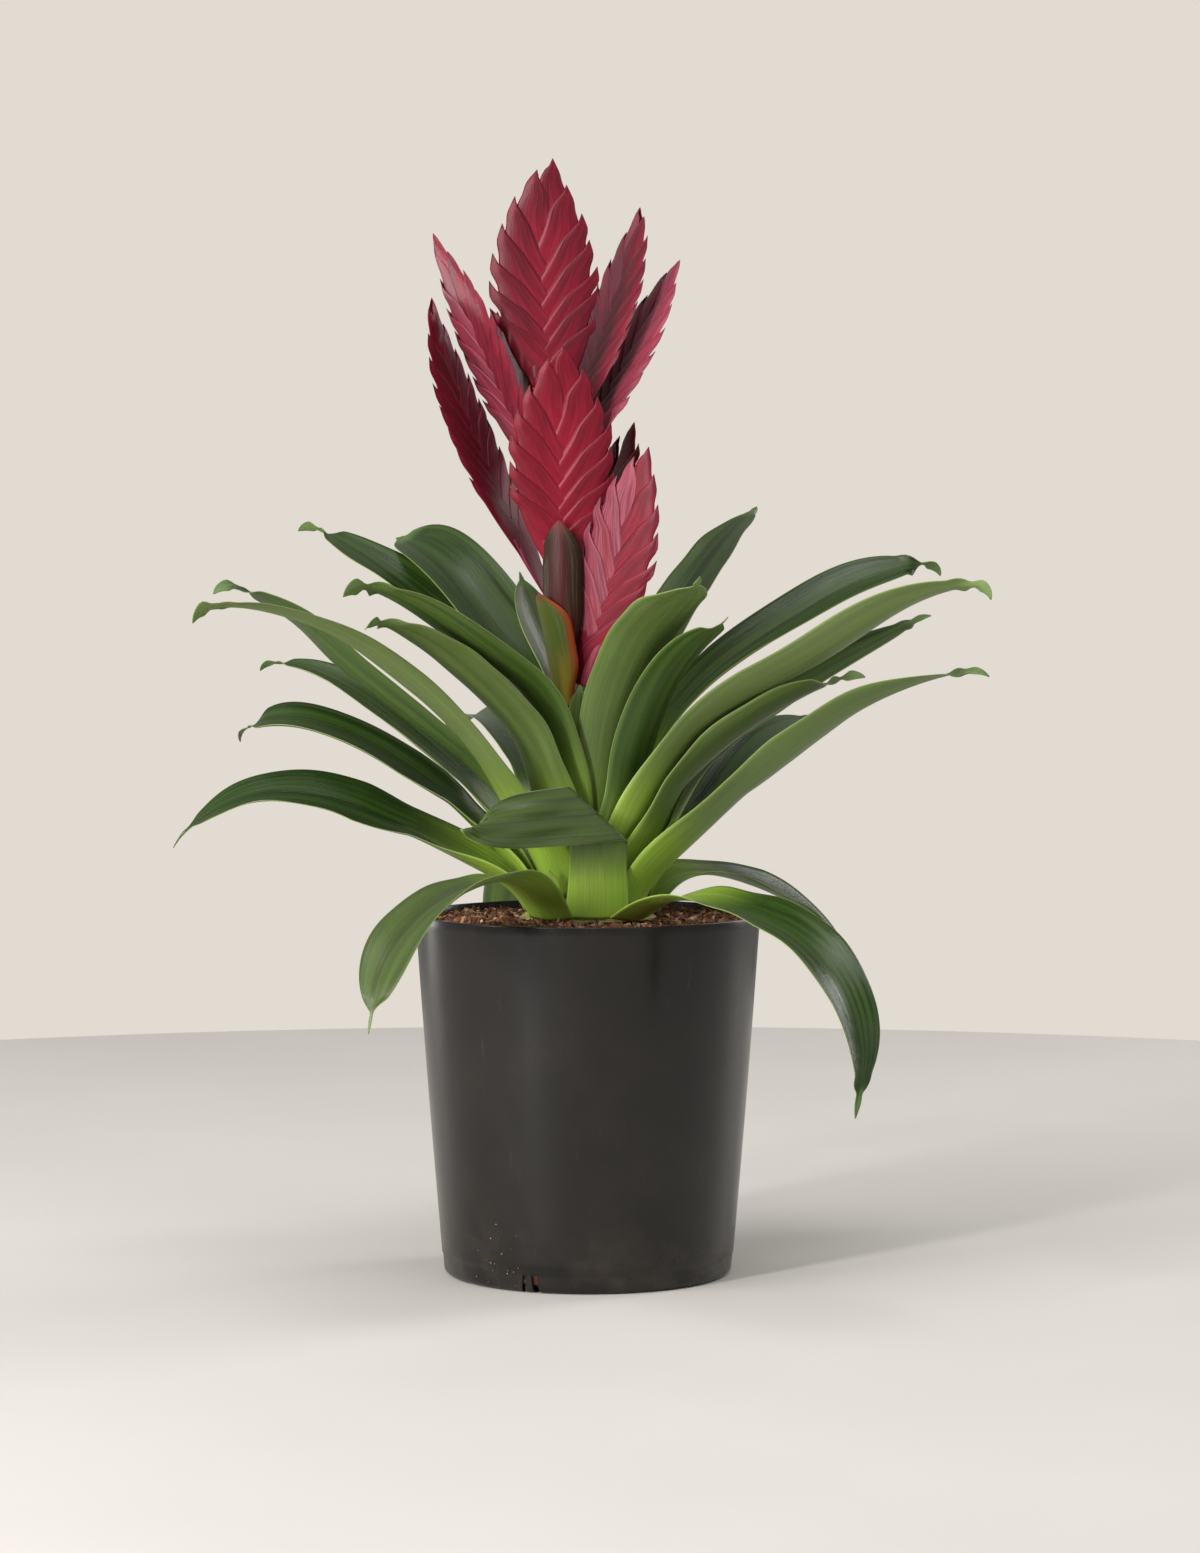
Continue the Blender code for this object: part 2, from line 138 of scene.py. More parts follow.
def addPiece(name, body, finish, nodes=()):
    # body is (points, faces, values, sharp). Faces are rows of 4 corners, and a triangle repeats its last.
    points, faces, values, sharp = body
    threes = faces[:, 2] == faces[:, 3]
    corners = np.concatenate([faces[~threes].ravel(), faces[threes][:, :3].ravel()]).astype(np.int32)
    counts = np.concatenate([np.full((~threes).sum(), 4), np.full(threes.sum(), 3)])
    starts = np.concatenate([[0], np.cumsum(counts)[:-1]]).astype(np.int32)
    mesh = bpy.data.meshes.new(name)
    mesh.vertices.add(len(points))
    mesh.vertices.foreach_set("co", points.astype(np.float32).ravel())
    mesh.loops.add(len(corners))
    mesh.loops.foreach_set("vertex_index", corners)
    mesh.polygons.add(len(counts))
    mesh.polygons.foreach_set("loop_start", starts)
    mesh.polygons.foreach_set("use_smooth", np.concatenate([~sharp[~threes], ~sharp[threes]]))
    mesh.update(calc_edges=True)
    for key, value in values.items():
        if key == "grown":
            layer = mesh.uv_layers.new(name="grown")
            layer.uv.foreach_set("vector", value[corners].astype(np.float32).ravel())
        else:
            mesh.attributes.new(key, "FLOAT", "POINT").data.foreach_set("value", value.astype(np.float32))
    piece = bpy.data.objects.new(name, mesh)
    bpy.context.scene.collection.objects.link(piece)
    mesh.materials.append(finish)
    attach(piece, "root")
    if nodes:
        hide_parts(*nodes)
    return piece


def joined(bodies):  # several bodies as one, with the corner numbers of each moved past those before it
    starts = np.cumsum([0] + [len(body[0]) for body in bodies[:-1]])
    points = np.concatenate([body[0] for body in bodies])
    faces = np.concatenate([body[1] + start for body, start in zip(bodies, starts)])
    values = {key: np.concatenate([body[2][key] for body in bodies]) for key in bodies[0][2]}
    return points, faces, values, np.concatenate([body[3] for body in bodies])


def unit(vectors):  # each vector over its own length
    return vectors / np.maximum(np.linalg.norm(vectors, axis=-1, keepdims=True), 1e-12)


def shell(grid, thickness, **values):
    # two sides half the thickness off the grid along its normals, and a strip that closes the edge
    rows, columns, _ = grid.shape
    normal = unit(np.cross(np.gradient(grid, axis=0), np.gradient(grid, axis=1)))
    offset = normal * (np.zeros((rows, columns)) + thickness)[..., None] / 2
    points = np.concatenate([(grid + offset).reshape(-1, 3), (grid - offset).reshape(-1, 3)])
    index = np.arange(rows * columns).reshape(rows, columns)
    face = np.stack([index[:-1, :-1], index[1:, :-1], index[1:, 1:], index[:-1, 1:]], -1).reshape(-1, 4)
    rim = np.concatenate([index[:, 0], index[-1, 1:], index[-2::-1, -1], index[0, -2:0:-1]])
    following = np.roll(rim, -1)
    size = rows * columns
    edge = np.stack([following, rim, rim + size, following + size], -1)
    faces = np.concatenate([face, face[:, ::-1] + size, edge])
    sharp = np.concatenate([np.zeros(2 * len(face), bool), np.ones(len(edge), bool)])
    both = {key: np.concatenate([np.broadcast_to(value, (rows, columns, *np.shape(value)[2:])).reshape(
        size, *np.shape(value)[2:])] * 2) for key, value in values.items()}
    both["under"] = np.repeat([0.0, 1.0], size)
    return points, faces, both, sharp


def rounded(rings, **values):
    # rings of points joined into a tube, with a point in the middle of each end ring that closes it
    rows, sides, _ = rings.shape
    index = np.arange(rows * sides).reshape(rows, sides)
    after = np.roll(index, -1, axis=1)
    face = np.stack([index[:-1], after[:-1], after[1:], index[1:]], -1).reshape(-1, 4)
    first, last = rows * sides, rows * sides + 1
    low = np.stack([after[0], index[0], np.full(sides, first), np.full(sides, first)], -1)
    high = np.stack([index[-1], after[-1], np.full(sides, last), np.full(sides, last)], -1)
    points = np.concatenate([rings.reshape(-1, 3), [rings[0].mean(0)], [rings[-1].mean(0)]])
    faces = np.concatenate([face, low, high])
    full = {key: np.concatenate([(np.zeros((rows, sides)) + value).ravel(),
                                 [np.mean(value), np.mean(value)]]) for key, value in values.items()}
    return points, faces, full, np.zeros(len(faces), bool)


def turned(outline, sides):  # points (radius, height) turned about Z, to radius cos angle and radius sin angle
    angles = np.arange(sides) * 2 * math.pi / sides
    radius, height = (np.array(outline)[:, part][:, None] for part in (0, 1))
    return np.stack([radius * np.cos(angles), radius * np.sin(angles), height + 0 * angles], -1)


def smooth(value):  # 3 v v - 2 v v v, held between 0 and 1
    value = np.clip(value, 0, 1)
    return value * value * (3 - 2 * value)


def through(values, where):
    # a Catmull-Rom curve through equally spaced values, read at places from 0 to 1: each span is a cubic whose
    # slope at an end is half the difference of the values on both sides
    values = np.asarray(values, float)
    spans = len(values) - 1
    padded = np.concatenate([[2 * values[0] - values[1]], values, [2 * values[-1] - values[-2]]])
    place = np.clip(where, 0, 1) * spans
    first = np.minimum(place.astype(int), spans - 1)
    part = place - first
    before, start, end, after = (padded[first + step] for step in range(4))
    bend = 2 * before - 5 * start + 4 * end - after
    return start + 0.5 * part * (end - before + part * (bend + part * (3 * (start - end) + after - before)))


def waves(seed, *places, count=9, size=1.0):
    # a smooth random relief: the sum of sines of random direction and phase, over the root of their number
    picks = np.random.default_rng(seed)
    total = 0
    for _ in range(count):
        angle = picks.uniform(0, 2 * math.pi) + sum(
            place * picks.normal() * 2 * math.pi / size for place in places)
        total = total + np.sin(angle)
    return total / math.sqrt(count)


def growthLine(foot, heading, climb, length):
    # the running sum of steps along (cos climb cos heading, cos climb sin heading, sin climb). Side is level
    # and at right angles to the line, and upper is at right angles to both.
    count, rise, turn = len(heading), np.radians(climb), np.radians(heading)
    along = np.stack([np.cos(rise) * np.cos(turn), np.cos(rise) * np.sin(turn), np.sin(rise)], axis=1)
    steps = np.zeros((count, 3))
    steps[1:] = (along[1:] + along[:-1]) / 2 * length / (count - 1)
    side = np.stack([-np.sin(turn), np.cos(turn), 0 * turn], axis=1)
    return np.asarray(foot) + np.cumsum(steps, axis=0), along, side, np.cross(along, side)


def steadyLine(foot, heading, climb, length, count):  # a growth line that keeps its heading
    where = np.linspace(0, 1, count)
    return growthLine(foot, heading + 0 * where, through(climb, where), length)


def tube(points, side, upper, sides, reach, **values):
    # a ring round each point of a line: point + (side cos angle + upper sin angle) times reach
    angles = np.arange(sides) * 2 * math.pi / sides
    around = side[:, None] * np.cos(angles)[:, None] + upper[:, None] * np.sin(angles)[:, None]
    return rounded(points[:, None] + around * reach[..., None], **values)


def arched(half, bend, across):
    # an arc across a line: sin(angle) / bend to the side and (1 - cos(angle)) / bend inwards
    angle = (half * bend)[:, None] * across
    return np.sin(angle) / bend[:, None], (1 - np.cos(angle)) / bend[:, None]


def ownMap(along, across):  # the map of a grid: along it, and across it from 0 to 1
    return np.stack(np.broadcast_arrays(along[:, None], (across + 1)[None, :] / 2), -1)


def sampled(arrays, places):  # arrays over equal steps from 0 to 1, read at other places
    steps = np.linspace(0, 1, len(arrays[0]))
    return [np.stack([np.interp(places, steps, array[:, axis]) for axis in range(3)], -1) for array in arrays]


potLow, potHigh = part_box("pot")
mixLow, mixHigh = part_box("potting_mix")
stemLow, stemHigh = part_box("stem")
potTop = (potHigh.x - potLow.x) / 2
potHeight = potHigh.z
mixTop = mixHigh.z
stemRadius = (stemHigh.x - stemLow.x) / 2
clearance = 0.3 * mm

pot = {
    "baseRadius": 0.0638,
    "wall": 1.8 * mm,
    "floor": 2.5 * mm,
    "corner": 3 * mm,
    "rimRounding": 0.5 * mm,
    "footBand": 9.5 * mm,
    "footStep": 0.4 * mm,
    "barrel": 0.35 * mm,
    "sides": 256,
    "slitHeight": 7.8 * mm,
    "slitDepth": 8 * mm,
    "slitWidths": (1.4 * mm, 2.6 * mm),
    "slitSpacing": 6.2 * mm,
    "slitHeadings": (247, 7, 127),
    "slitTilt": 7,
    "crumbs": 20,
    "crumbHeading": 236,
}


def wallRadius(height):  # a straight cone from the base radius to the top radius
    return pot["baseRadius"] + (potTop - pot["baseRadius"]) * height / potHeight


def potFinish():
    finish, shader = newFinish("satinBlackPlastic", Specular_IOR_Level=0.42)
    place = ownPlace(finish)
    cloud = grain(finish, place, 38, 5, 0.6)
    fine = grain(finish, place, 900, 3, 0.6)
    scuff = grain(finish, place, 240, 4, 0.7, (1, 1, 0.12))
    height = put(finish, "ShaderNodeSeparateXYZ", {0: place}, 2)
    dusty = times(finish, ease(finish, height, 0.0, 0.035, 1.0, 0.12), ease(finish, cloud, 0.42, 0.72))
    scratched = ease(finish, scuff, 0.60, 0.74, 0, 0.28)
    plain = blend(finish, cloud, tone(17, 14, 12), tone(22, 19, 17))
    dusted = blend(finish, times(finish, dusty, 0.22), plain, tone(104, 90, 76))
    colour = blend(finish, scratched, dusted, tone(58, 54, 52))
    gloss = timesPlus(finish, dusty, 0.2, timesPlus(finish, cloud, 0.08, 0.20))
    bumps = timesPlus(finish, cloud, 1.6, times(finish, fine, 0.25))
    return dress(finish, shader, colour, gloss, bumps, 0.0002, 0.3)


def potOutline():
    # (radius, height) points: the bottom, a quarter circle, the foot band with its step, the cone plus
    # barrel times sin(pi share), a rounded rim, and the inside one wall thickness in
    corner, step, rim, wall, floor = (pot[key] for key in ("corner", "footStep", "rimRounding", "wall", "floor"))
    outline = [(radius, 0.0) for radius in (0.012, 0.03, 0.05)]
    outline += [(wallRadius(corner) - step - corner * (1 - math.sin(a)), corner * (1 - math.cos(a)))
                for a in np.radians(np.linspace(0, 90, 9))]
    outline += [(wallRadius(z) - step, z) for z in np.linspace(corner, pot["footBand"] - step, 4)[1:]]
    for z in np.linspace(pot["footBand"], potHeight - rim, 40):
        rise = (z - pot["footBand"]) / (potHeight - pot["footBand"])
        outline.append((wallRadius(z) + pot["barrel"] * math.sin(math.pi * rise), z))
    outline += [(wallRadius(potHeight) - rim * (1 - math.cos(a)), potHeight - rim * (1 - math.sin(a)))
                for a in np.radians((30, 60, 90))]
    inner = wallRadius(potHeight) - wall
    outline += [(inner + rim * (1 - math.sin(a)), potHeight - rim * (1 - math.cos(a)))
                for a in np.radians((20, 45, 70, 90))]
    outline += [(wallRadius(z) - wall, z) for z in np.linspace(potHeight - 2 * mm, floor + 1 * mm, 24)]
    return outline + [(wallRadius(floor) - wall - 1 * mm, floor), (0.04, floor), (0.02, floor)]


def buildPot():
    # the turned outline, with a pair of leaning slits cut out of the foot at each heading
    piece = addPiece("growPot", rounded(turned(potOutline(), pot["sides"])), potFinish(), ["pot"])
    cutters = []
    for heading in pot["slitHeadings"]:
        for index, width in enumerate(pot["slitWidths"]):
            side = (index - 0.5) * pot["slitSpacing"]
            bpy.ops.mesh.primitive_cube_add(size=1)
            cutter = bpy.context.object
            turn = math.radians(heading)
            cutter.scale = (2 * pot["slitDepth"], width, 2 * pot["slitHeight"])
            cutter.rotation_euler = (math.radians((index * 2 - 1) * pot["slitTilt"]), 0, turn)
            cutter.location = (pot["baseRadius"] * math.cos(turn) - side * math.sin(turn),
                               pot["baseRadius"] * math.sin(turn) + side * math.cos(turn), 0)
            cut = piece.modifiers.new("slit", "BOOLEAN")
            cut.object, cut.solver = cutter, "EXACT"
            cutters.append(cutter)
    bpy.context.view_layer.update()
    whole = bpy.data.meshes.new_from_object(piece.evaluated_get(bpy.context.evaluated_depsgraph_get()))
    piece.modifiers.clear()
    whole.materials.clear()
    whole.materials.append(piece.data.materials[0])
    piece.data = whole
    for cutter in cutters:
        bpy.data.objects.remove(cutter)
    print("pot", len(piece.data.polygons), "faces")


mix = {
    "footSetback": 1.5 * mm,
    "heap": 2.2 * mm,
    "socketRadius": 0.0103,
    "socketDepth": 0.0303,
    "softEdge": 1.2 * mm,
    "rings": 64,
    "chips": 900,
    "grains": 1400,
    "fibres": 190,
}


def mixFinish():
    finish, shader = newFinish("peatAndBark")
    place = ownPlace(finish)
    coarse = grain(finish, place, 170, 6, 0.65)
    fine = grain(finish, place, 900, 4, 0.6)
    flecks = grain(finish, place, 420, 2, 0.5)
    earth = blend(finish, ease(finish, coarse, 0.35, 0.68), tone(58, 34, 24), tone(142, 88, 58))
    earth = blend(finish, ease(finish, fine, 0.45, 0.75, 0, 0.5), earth, tone(176, 126, 84))
    earth = blend(finish, ease(finish, flecks, 0.66, 0.74), earth, tone(196, 168, 128))
    roughness = timesPlus(finish, fine, 0.2, 0.75)
    return dress(finish, shader, earth, roughness, timesPlus(finish, fine, 0.5, coarse), 0.0016, 0.9)


def crumbFinish():
    finish, shader = newFinish("barkCrumbs")
    place = ownPlace(finish)
    tint = attribute(finish, "tint")
    streak = grain(finish, place, 700, 4, 0.6)
    colour = put(finish, "ShaderNodeValToRGB", {0: tint})
    ramp = finish.node_tree.nodes[-1].color_ramp
    ramp.elements[0].color, ramp.elements[1].color = tone(62, 36, 26), tone(226, 200, 160)
    for where, shade in ((0.4, tone(122, 70, 44)), (0.7, tone(160, 100, 64)), (0.86, tone(190, 146, 104))):
        ramp.elements.new(where).color = shade
    shaded = blend(finish, 0.45, colour, tone(22, 14, 10))
    colour = blend(finish, ease(finish, streak, 0.3, 0.75), shaded, colour)
    return dress(finish, shader, colour, timesPlus(finish, streak, 0.25, 0.65), streak, 0.0006, 0.8)


def mixRelief(x, y):
    # long waves, short waves, and a heap, exp(-(dx / w) ** 2 - (dy / w) ** 2), towards the left of the front
    swell = waves(3, x, y, size=0.05) * 0.5 * mm + waves(4, x, y, count=14, size=0.012) * 0.45 * mm
    heap = np.exp(-(((x + 0.045) / 0.035) ** 2) - ((y + 0.04) / 0.035) ** 2)
    return swell + mix["heap"] * heap


def turns(count):  # random turning matrices
    first = unit(rng.normal(size=(count, 3)))
    second = unit(np.cross(first, rng.normal(size=(count, 3))))
    return np.stack([first, second, np.cross(first, second)], 1)


def lumps(places, sizes, tints):
    # one eight-sided lump for each place: three axes of a turned frame, with the given sizes along them
    count = len(places)
    frames = turns(count) * sizes[:, :, None]
    signs = np.array([[1, 0, 0], [0, 1, 0], [-1, 0, 0], [0, -1, 0], [0, 0, 1], [0, 0, -1]], float)
    corners = places[:, None] + np.einsum("kc,ncd->nkd", signs, frames) * rng.uniform(0.75, 1.2, (count, 6, 1))
    face = np.array([[0, 1, 4, 4], [1, 2, 4, 4], [2, 3, 4, 4], [3, 0, 4, 4],
                     [1, 0, 5, 5], [2, 1, 5, 5], [3, 2, 5, 5], [0, 3, 5, 5]])
    faces = (face[None] + 6 * np.arange(count)[:, None, None]).reshape(-1, 4)
    return corners.reshape(-1, 3), faces, {"tint": np.repeat(tints, 6)}, np.ones(len(faces), bool)


def fibre(start, heading, length, radius, tint):
    # a thin curved hair: a line that wanders in heading and climb, with four sides
    steps = np.linspace(0, 1, 9)
    turn = heading + waves(int(tint * 1e6), steps, count=4, size=1.4) * 45
    points, _, side, upper = growthLine(start, turn, waves(int(tint * 1e6) + 1, steps, count=4) * 16, length)
    return tube(points, side, upper, 4, (radius * (1 - 0.6 * steps))[:, None], tint=tint)


def buildMix():
    # the turned body under a wavy top, then the chips, grains and hairs that lie on it
    floor = pot["floor"] + clearance
    wall = pot["wall"] + clearance
    setback = mix["footSetback"]
    outer = wallRadius(mixTop) - wall
    outline = [(wallRadius(floor) - wall - setback, floor)]
    outline += [(wallRadius(floor + setback) - wall, floor + setback)]
    outline += [(wallRadius(z) - wall, z) for z in np.linspace(floor + setback, mixTop - 3 * mm, 10)[1:]]
    top = len(outline)
    reach = np.linspace(outer, mix["socketRadius"] + 1 * mm, mix["rings"])
    outline += [(radius, mixTop - mix["softEdge"]) for radius in reach]
    depth = mixTop - mix["socketDepth"]
    outline += [(mix["socketRadius"], z) for z in np.linspace(mixTop - 2 * mm, depth, 6)]
    rings = turned(outline, 200)
    surface = rings[top:top + mix["rings"]]
    x, y = surface[:, :, 0], surface[:, :, 1]
    reach = np.hypot(x, y)
    fade = smooth((outer - reach) / (2 * mm)) * smooth((reach - stemRadius) / (3 * mm))
    surface[:, :, 2] += mixRelief(x, y) * fade
    addPiece("mixBody", rounded(rings), mixFinish(), ["potting_mix"])
    finish = crumbFinish()
    bodies = []
    for count, low, high in ((mix["chips"], 0.8, 2.4), (mix["grains"], 0.3, 0.9)):
        reach = np.sqrt(rng.uniform((stemRadius + 3 * mm) ** 2, (outer - 2.2 * mm) ** 2, count))
        turn = rng.uniform(0, 2 * math.pi, count)
        x, y = reach * np.cos(turn), reach * np.sin(turn)
        z = mixTop - 0.9 * mm + mixRelief(x, y) + rng.uniform(-0.2, 0.8, count) * mm
        spans = rng.uniform(low, high, count)[:, None]
        spans = spans * rng.uniform((1.0, 0.5, 0.25), (1.5, 1.0, 0.6), (count, 3))
        bodies.append(lumps(np.stack([x, y, z], 1), spans * mm, rng.uniform(0, 1, count) ** 1.3))
    for _ in range(mix["fibres"]):
        reach, turn = rng.uniform(0.03, outer - 6 * mm), rng.uniform(0, 2 * math.pi)
        x, y = reach * math.cos(turn), reach * math.sin(turn)
        start = (x, y, mixTop + float(mixRelief(x, y)) + 0.2 * mm)
        bodies.append(fibre(start, rng.uniform(0, 360), rng.uniform(5, 13) * mm, rng.uniform(0.09, 0.2) * mm,
                            rng.uniform(0.62, 1)))
    addPiece("mixCrumbs", joined(bodies), finish)
    # a few crumbs cling to the wall and to the foot band
    count = pot["crumbs"]
    turn = np.radians(rng.normal(pot["crumbHeading"], 14, count))
    z = np.where(rng.uniform(size=count) < 0.6, rng.uniform(2, 12, count), rng.uniform(12, 30, count)) * mm
    radius = wallRadius(z) + 0.15 * mm
    places = np.stack([radius * np.cos(turn), radius * np.sin(turn), z], 1)
    sizes = rng.uniform(0.15, 0.55, (count, 3)) * mm
    addPiece("wallCrumbs", lumps(places, sizes, rng.uniform(0.5, 1, count)), finish)
    print("potting mix")


leaves = {
    "thickness": 0.6 * mm,
    "sheathGap": 1.1 * mm,
    "sheathSwell": 1.15,
    "sheathSpread": 60,
    "stemSlope": 0.8,
    "stemEdge": 0.6 * mm,
    "bladeStations": 70,
    "tipStations": 35,
    "columns": 17,
    "neck": 2.6 * mm,
    "bulge": 7 * mm,
    "sheathRoom": 0.32,
    "sheathEnd": 0.3,
    "bellyEnd": 0.36,
    "flatFrom": 0.42,
    "bladeBend": 0.55,
    "flagBend": 0.5,
    "waveHeight": 0.55 * mm,
    "thinEdge": 0.45,
    "thinTip": 0.3,
    "shortest": 0.05,  # a leaf below this length has neither belly nor curl
    "slender": {"leaf_left_long": 0.52, "leaf_left_channelled": 0.7, "leaf_left_glossy": 0.85,
                "leaf_front_left_second": 1.25, "leaf_front_left_upper": 1.12},
    "ageRate": 1.3,  # how soon the sheath's colour gives way to the blade's
    "age": {"leaf_front_folded": 1.45, "leaf_sprout": 0.3},
    "greenest": 0.88,
    # tint of each leaf: a high tint darkens it, partly the leaf's own darker green and partly painted shade on
    # leaves that sit in shadow; a low tint paints a pale sheen on it; the tint also shifts its patterns
    "tint": {"leaf_left_channelled": 1.0, "leaf_left_long": 0.0, "leaf_right_long": 0.0,
             "leaf_front_left_second": 0.1, "leaf_right_short": 0.15, "leaf_broad_front": 0.15,
             "leaf_right_upper": 0.9, "leaf_left_lower": 0.95, "leaf_left_middle": 0.85,
             "leaf_broad_back_left": 1.0, "leaf_back_left_upper": 0.9, "leaf_front_folded": 0.35},
    "channel": 0.22,
    "outerRing": 14,
}
# ring, heading, sweep, climb, length, roll, twist, width, and whether it hangs, as in the CAD part
leafTable = {
    "leaf_heart_small": (0, 258, 3, (86, 82, 83, 86, 81), 0.084, -8, -7, 0.015),
    "leaf_heart_upright": (1, 142, -1, (88, 92, 76, 61, 76), 0.140, 2, -12, 0.029),
    "leaf_broad_back_left": (2, 137, -11, (90, 77, 44, 36, 1), 0.214, -13, -20, 0.035),
    "leaf_broad_front": (2, 300, -12, (88, 78, 52, 25, 20), 0.184, -11, 15, 0.033),
    "leaf_upright_back_right": (3, 54, 13, (88, 69, 43, 33, 18), 0.235, -5, -4, 0.031),
    "leaf_front_left_upper": (3, 227, -4, (90, 74, 31, 29, 2), 0.209, 0, 13, 0.028),
    "leaf_right_upper": (4, 14, 2, (88, 64, 36, 28, 3), 0.227, 14, 28, 0.032),
    "leaf_back_left_upper": (4, 145, -2, (86, 70, 37, 30, 19), 0.238, -3, -13, 0.032),
    "leaf_back_upper": (5, 88, 0, (86, 57, 23, -8, -36), 0.205, 0, 0, 0.030),
    "leaf_front_left_second": (5, 216, 19, (89, 69, 40, 30, 4), 0.180, -2, 5, 0.029),
    "leaf_left_channelled": (6, 198, -2, (89, 43, 37, 41, 13), 0.212, 19, 3, 0.032),
    "leaf_front_right_short": (6, 317, -24, (90, 74, 62, 35, 12), 0.158, 3, 0, 0.028),
    "leaf_left_long": (7, 220, -2, (78, 47, 35, 18, -9), 0.247, 21, -13, 0.029),
    "leaf_right_long": (7, 333, 5, (91, 53, 28, 31, -3), 0.237, -17, -3, 0.032),
    "leaf_left_glossy": (8, 167, -1, (85, 43, 39, 30, -2), 0.176, -15, 1, 0.032),
    "leaf_right_short": (8, 345, -6, (83, 59, 40, 30, 15), 0.153, -9, -7, 0.034),
    "leaf_right_shaded": (9, 10, 12, (84, 54, 37, 28, 30), 0.194, 19, -6, 0.030),
    "leaf_back_left_middle": (9, 112, 0, (83, 46, 21, -5, -30), 0.199, -14, 0, 0.031),
    "leaf_left_middle": (10, 172, -5, (85, 35, 33, 16, -25), 0.170, -13, -9, 0.032),
    "leaf_right_lower": (10, 343, 5, (75, 35, 39, 24, 8), 0.194, -20, 24, 0.034),
    "leaf_back_right_middle": (10, 71, 0, (83, 46, 19, -7, -31), 0.200, -5, 0, 0.031),
    "leaf_back_right_short": (11, 36, 28, (81, 29, 45, 16, -14), 0.161, -7, 14, 0.030),
    "leaf_left_lower": (12, 178, 2, (74, 17, 22, -10, -51), 0.180, -34, 23, 0.033),
    "leaf_back_hanging": (12, 84, 0, (64, 13, -21, -48, -71), 4.04, 0, 0, 0.031, True),
    "leaf_front_folded": (13, 279, -127, (86, 44, 16, 4, -36), 0.127, -33, -15, 0.027),
    "leaf_sprout": (13, 238, 0, (88, 86, 85, 84, 82), 0.021, 0, 0, 0.009),
    "leaf_back_right_hanging": (14, 37, -1, (57, -5, -22, -45, -84), 3.60, 22, 16, 0.031, True),
    "leaf_back_left_hanging": (14, 104, 0, (61, 11, -23, -50, -73), 4.23, 0, 0, 0.031, True),
    "leaf_front_left_hanging": (14, 238, 8, (55, 4, -14, -33, -76), 3.86, 9, -12, 0.033, True),
    "leaf_front_right_hanging": (14, 308, -8, (30, -2, -15, -51, -115), 4.60, 17, -50, 0.030, True),
}
sharedSpread = {"leaf_left_glossy": 34, "leaf_left_middle": 46, "leaf_right_lower": 46,
                "leaf_back_right_middle": 40, "leaf_front_left_hanging": 21, "leaf_front_right_hanging": 21}
# the end of each leaf: flag length and width in mm, how far it curls and twists in degrees, and how blunt the
# blade ends before it
leafTips = {
    "leaf_back_left_upper": (12, 6.5, -50, 70, 8),
    "leaf_left_channelled": (11, 6.5, -70, -80, 8),
    "leaf_left_long": (12, 7.5, -60, 60, 9),
    "leaf_front_left_upper": (13, 8, -50, 70, 8),
    "leaf_front_left_second": (10, 7, -45, 40, 9),
    "leaf_left_glossy": (8, 5, -60, 50, 8),
    "leaf_left_middle": (8, 7.5, -80, 25, 26),
    "leaf_left_lower": (9, 4, -10, 20, 7),
    "leaf_broad_back_left": (4, 4, -20, 20, 16),
    "leaf_broad_front": (6, 4, 40, 10, 11),
    "leaf_front_right_short": (8, 5, 20, 40, 9),
    "leaf_right_upper": (11, 8, -80, 110, 9),
    "leaf_right_long": (11, 6, -80, -50, 9),
    "leaf_right_short": (11, 8, -30, 60, 8),
    "leaf_right_lower": (10, 4, -50, 50, 7),
    "leaf_upright_back_right": (5, 3, 10, 20, 7),
    "leaf_front_right_hanging": (10, 3, 10, 40, 9),
    "leaf_front_left_hanging": (8, 3, 10, 40, 8),
    "leaf_heart_small": (2, 2, 0, 0, 14),
    "leaf_heart_upright": (3, 2, 0, 0, 10),
}


